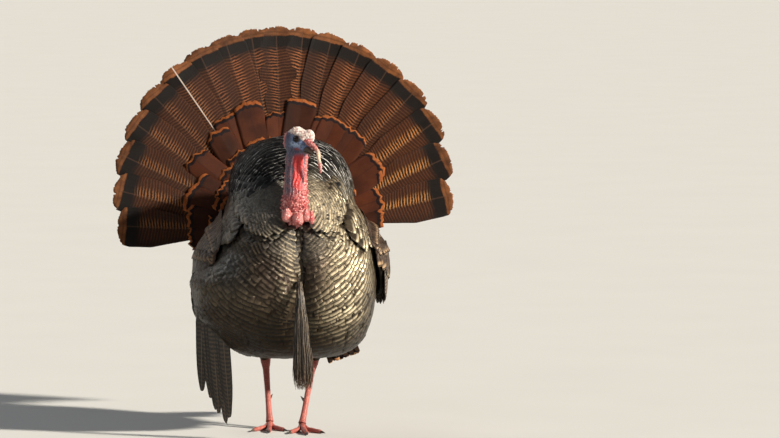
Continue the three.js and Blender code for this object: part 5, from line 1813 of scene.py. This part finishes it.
def studio_floor():
    """A wide pale plane that the bird stands on."""
    half = 260.0
    corners = [(-half, -half, 0), (half, -half, 0), (half, half, 0), (-half, half, 0)]
    mesh = bpy.data.meshes.new("studio_floor")
    mesh.from_pydata(corners, [], [(0, 1, 2, 3)])
    f = Finish("pale_floor")
    grain = f.noise(3.0, 4.0)
    pale = f.mix(grain, (0.60, 0.60, 0.58), (0.64, 0.64, 0.62))
    mesh.materials.append(f.paint(Base_Color=pale, Roughness=0.85))
    floor = bpy.data.objects.new("studio_floor", mesh)
    bpy.context.scene.collection.objects.link(floor)


# ---- the whole bird -----------------------------------------------------------------------
DARK_EDGE = (0.008, 0.006, 0.004)
breast_plumage = plumage("breast_plumage", (0.032, 0.023, 0.014), (0.130, 0.096, 0.058), DARK_EDGE,
                         (0.33, 0.250, 0.150), roughness=0.36, metallic=0.50)
mantle_plumage = plumage("mantle_plumage", (0.016, 0.014, 0.013), (0.045, 0.042, 0.038),
                         (0.003, 0.003, 0.003), (0.05, 0.05, 0.05), metallic=0.0)
rump_plumage = plumage("rump_plumage", (0.016, 0.010, 0.008), (0.060, 0.030, 0.017), (0.008, 0.006, 0.006),
                       (0.14, 0.065, 0.032), pale=(0.24, 0.085, 0.032), roughness=0.40)
vent_plumage = plumage("vent_plumage", (0.030, 0.022, 0.014), (0.075, 0.052, 0.030), DARK_EDGE,
                       (0.10, 0.066, 0.036), pale=(0.36, 0.22, 0.12), roughness=0.55, metallic=0.05)
covert_plumage = plumage("wing_covert_plumage", (0.028, 0.017, 0.011), (0.130, 0.080, 0.050), DARK_EDGE,
                         (0.32, 0.205, 0.120), pale=(0.50, 0.33, 0.19), band=0.13, metallic=0.35)
down = downy("under_down", (0.012, 0.009, 0.006))
banded_fringe = covert_vane("banded_fringe", (0.014, 0.008, 0.005), (0.050, 0.026, 0.014),
                            (0.34, 0.12, 0.04), (0.72, 0.48, 0.26), tip_depth=0.008, band_depth=0.006)
barred_secondary = barred_vane("barred_secondary", (0.035, 0.022, 0.014), (0.34, 0.27, 0.20), 0.0085,
                               covert_bar=(0.12, 0.070, 0.040), tip=(0.42, 0.32, 0.20))
barred_primary = barred_vane("barred_primary", (0.009, 0.006, 0.004), (0.080, 0.054, 0.031), 0.0105,
                             covert_bar=(0.135, 0.098, 0.062), tip=(0.3, 0.25, 0.2))
chestnut_covert = covert_vane("chestnut_covert", (0.024, 0.007, 0.004), (0.150, 0.040, 0.016),
                              (0.20, 0.052, 0.014), (0.46, 0.145, 0.040), tip_depth=0.012, band_depth=0.009)
rusty_covert = covert_vane("rusty_covert", (0.035, 0.020, 0.012), (0.10, 0.050, 0.024),
                           (0.34, 0.13, 0.045), (0.50, 0.24, 0.10), tip_depth=0.020, band_depth=0.010)

build_skin([bare_skin("bare_skin"), leg_scales("leg_scales"), down])
build_eyes(eye_wet("wet_eye"))
build_bill(horn("bill_horn", (0.060, 0.045, 0.040), (0.16, 0.12, 0.085)))
build_claws(horn("claw_horn", (0.075, 0.050, 0.035), (0.020, 0.014, 0.010)))
build_beard(bristle("beard_bristle"))
build_body_feathers([breast_plumage, mantle_plumage, rump_plumage, vent_plumage, breast_plumage])
build_thigh_feathers(vent_plumage)
build_fringe(banded_fringe)
wing_finishes = {"downy": down, "covert": covert_plumage, "flight": barred_secondary}
for wing_name, wing_sizes in WINGS.items():
    build_wing(wing_name, wing_sizes, wing_finishes)
for wing_name, bunch in PRIMARIES.items():
    build_primaries(wing_name, bunch, barred_primary)
build_tail(fan_vane("barred_tail"))
build_coverts("upper_tail_coverts", COVERT_RINGS, True, chestnut_covert,
              ["upper_coverts_outer", "upper_coverts_inner"])
build_coverts("under_tail_coverts", UNDER_RINGS, False, rusty_covert, ["under_coverts"])
studio_floor()
place_camera()
light_studio()
bpy.context.view_layer.update()
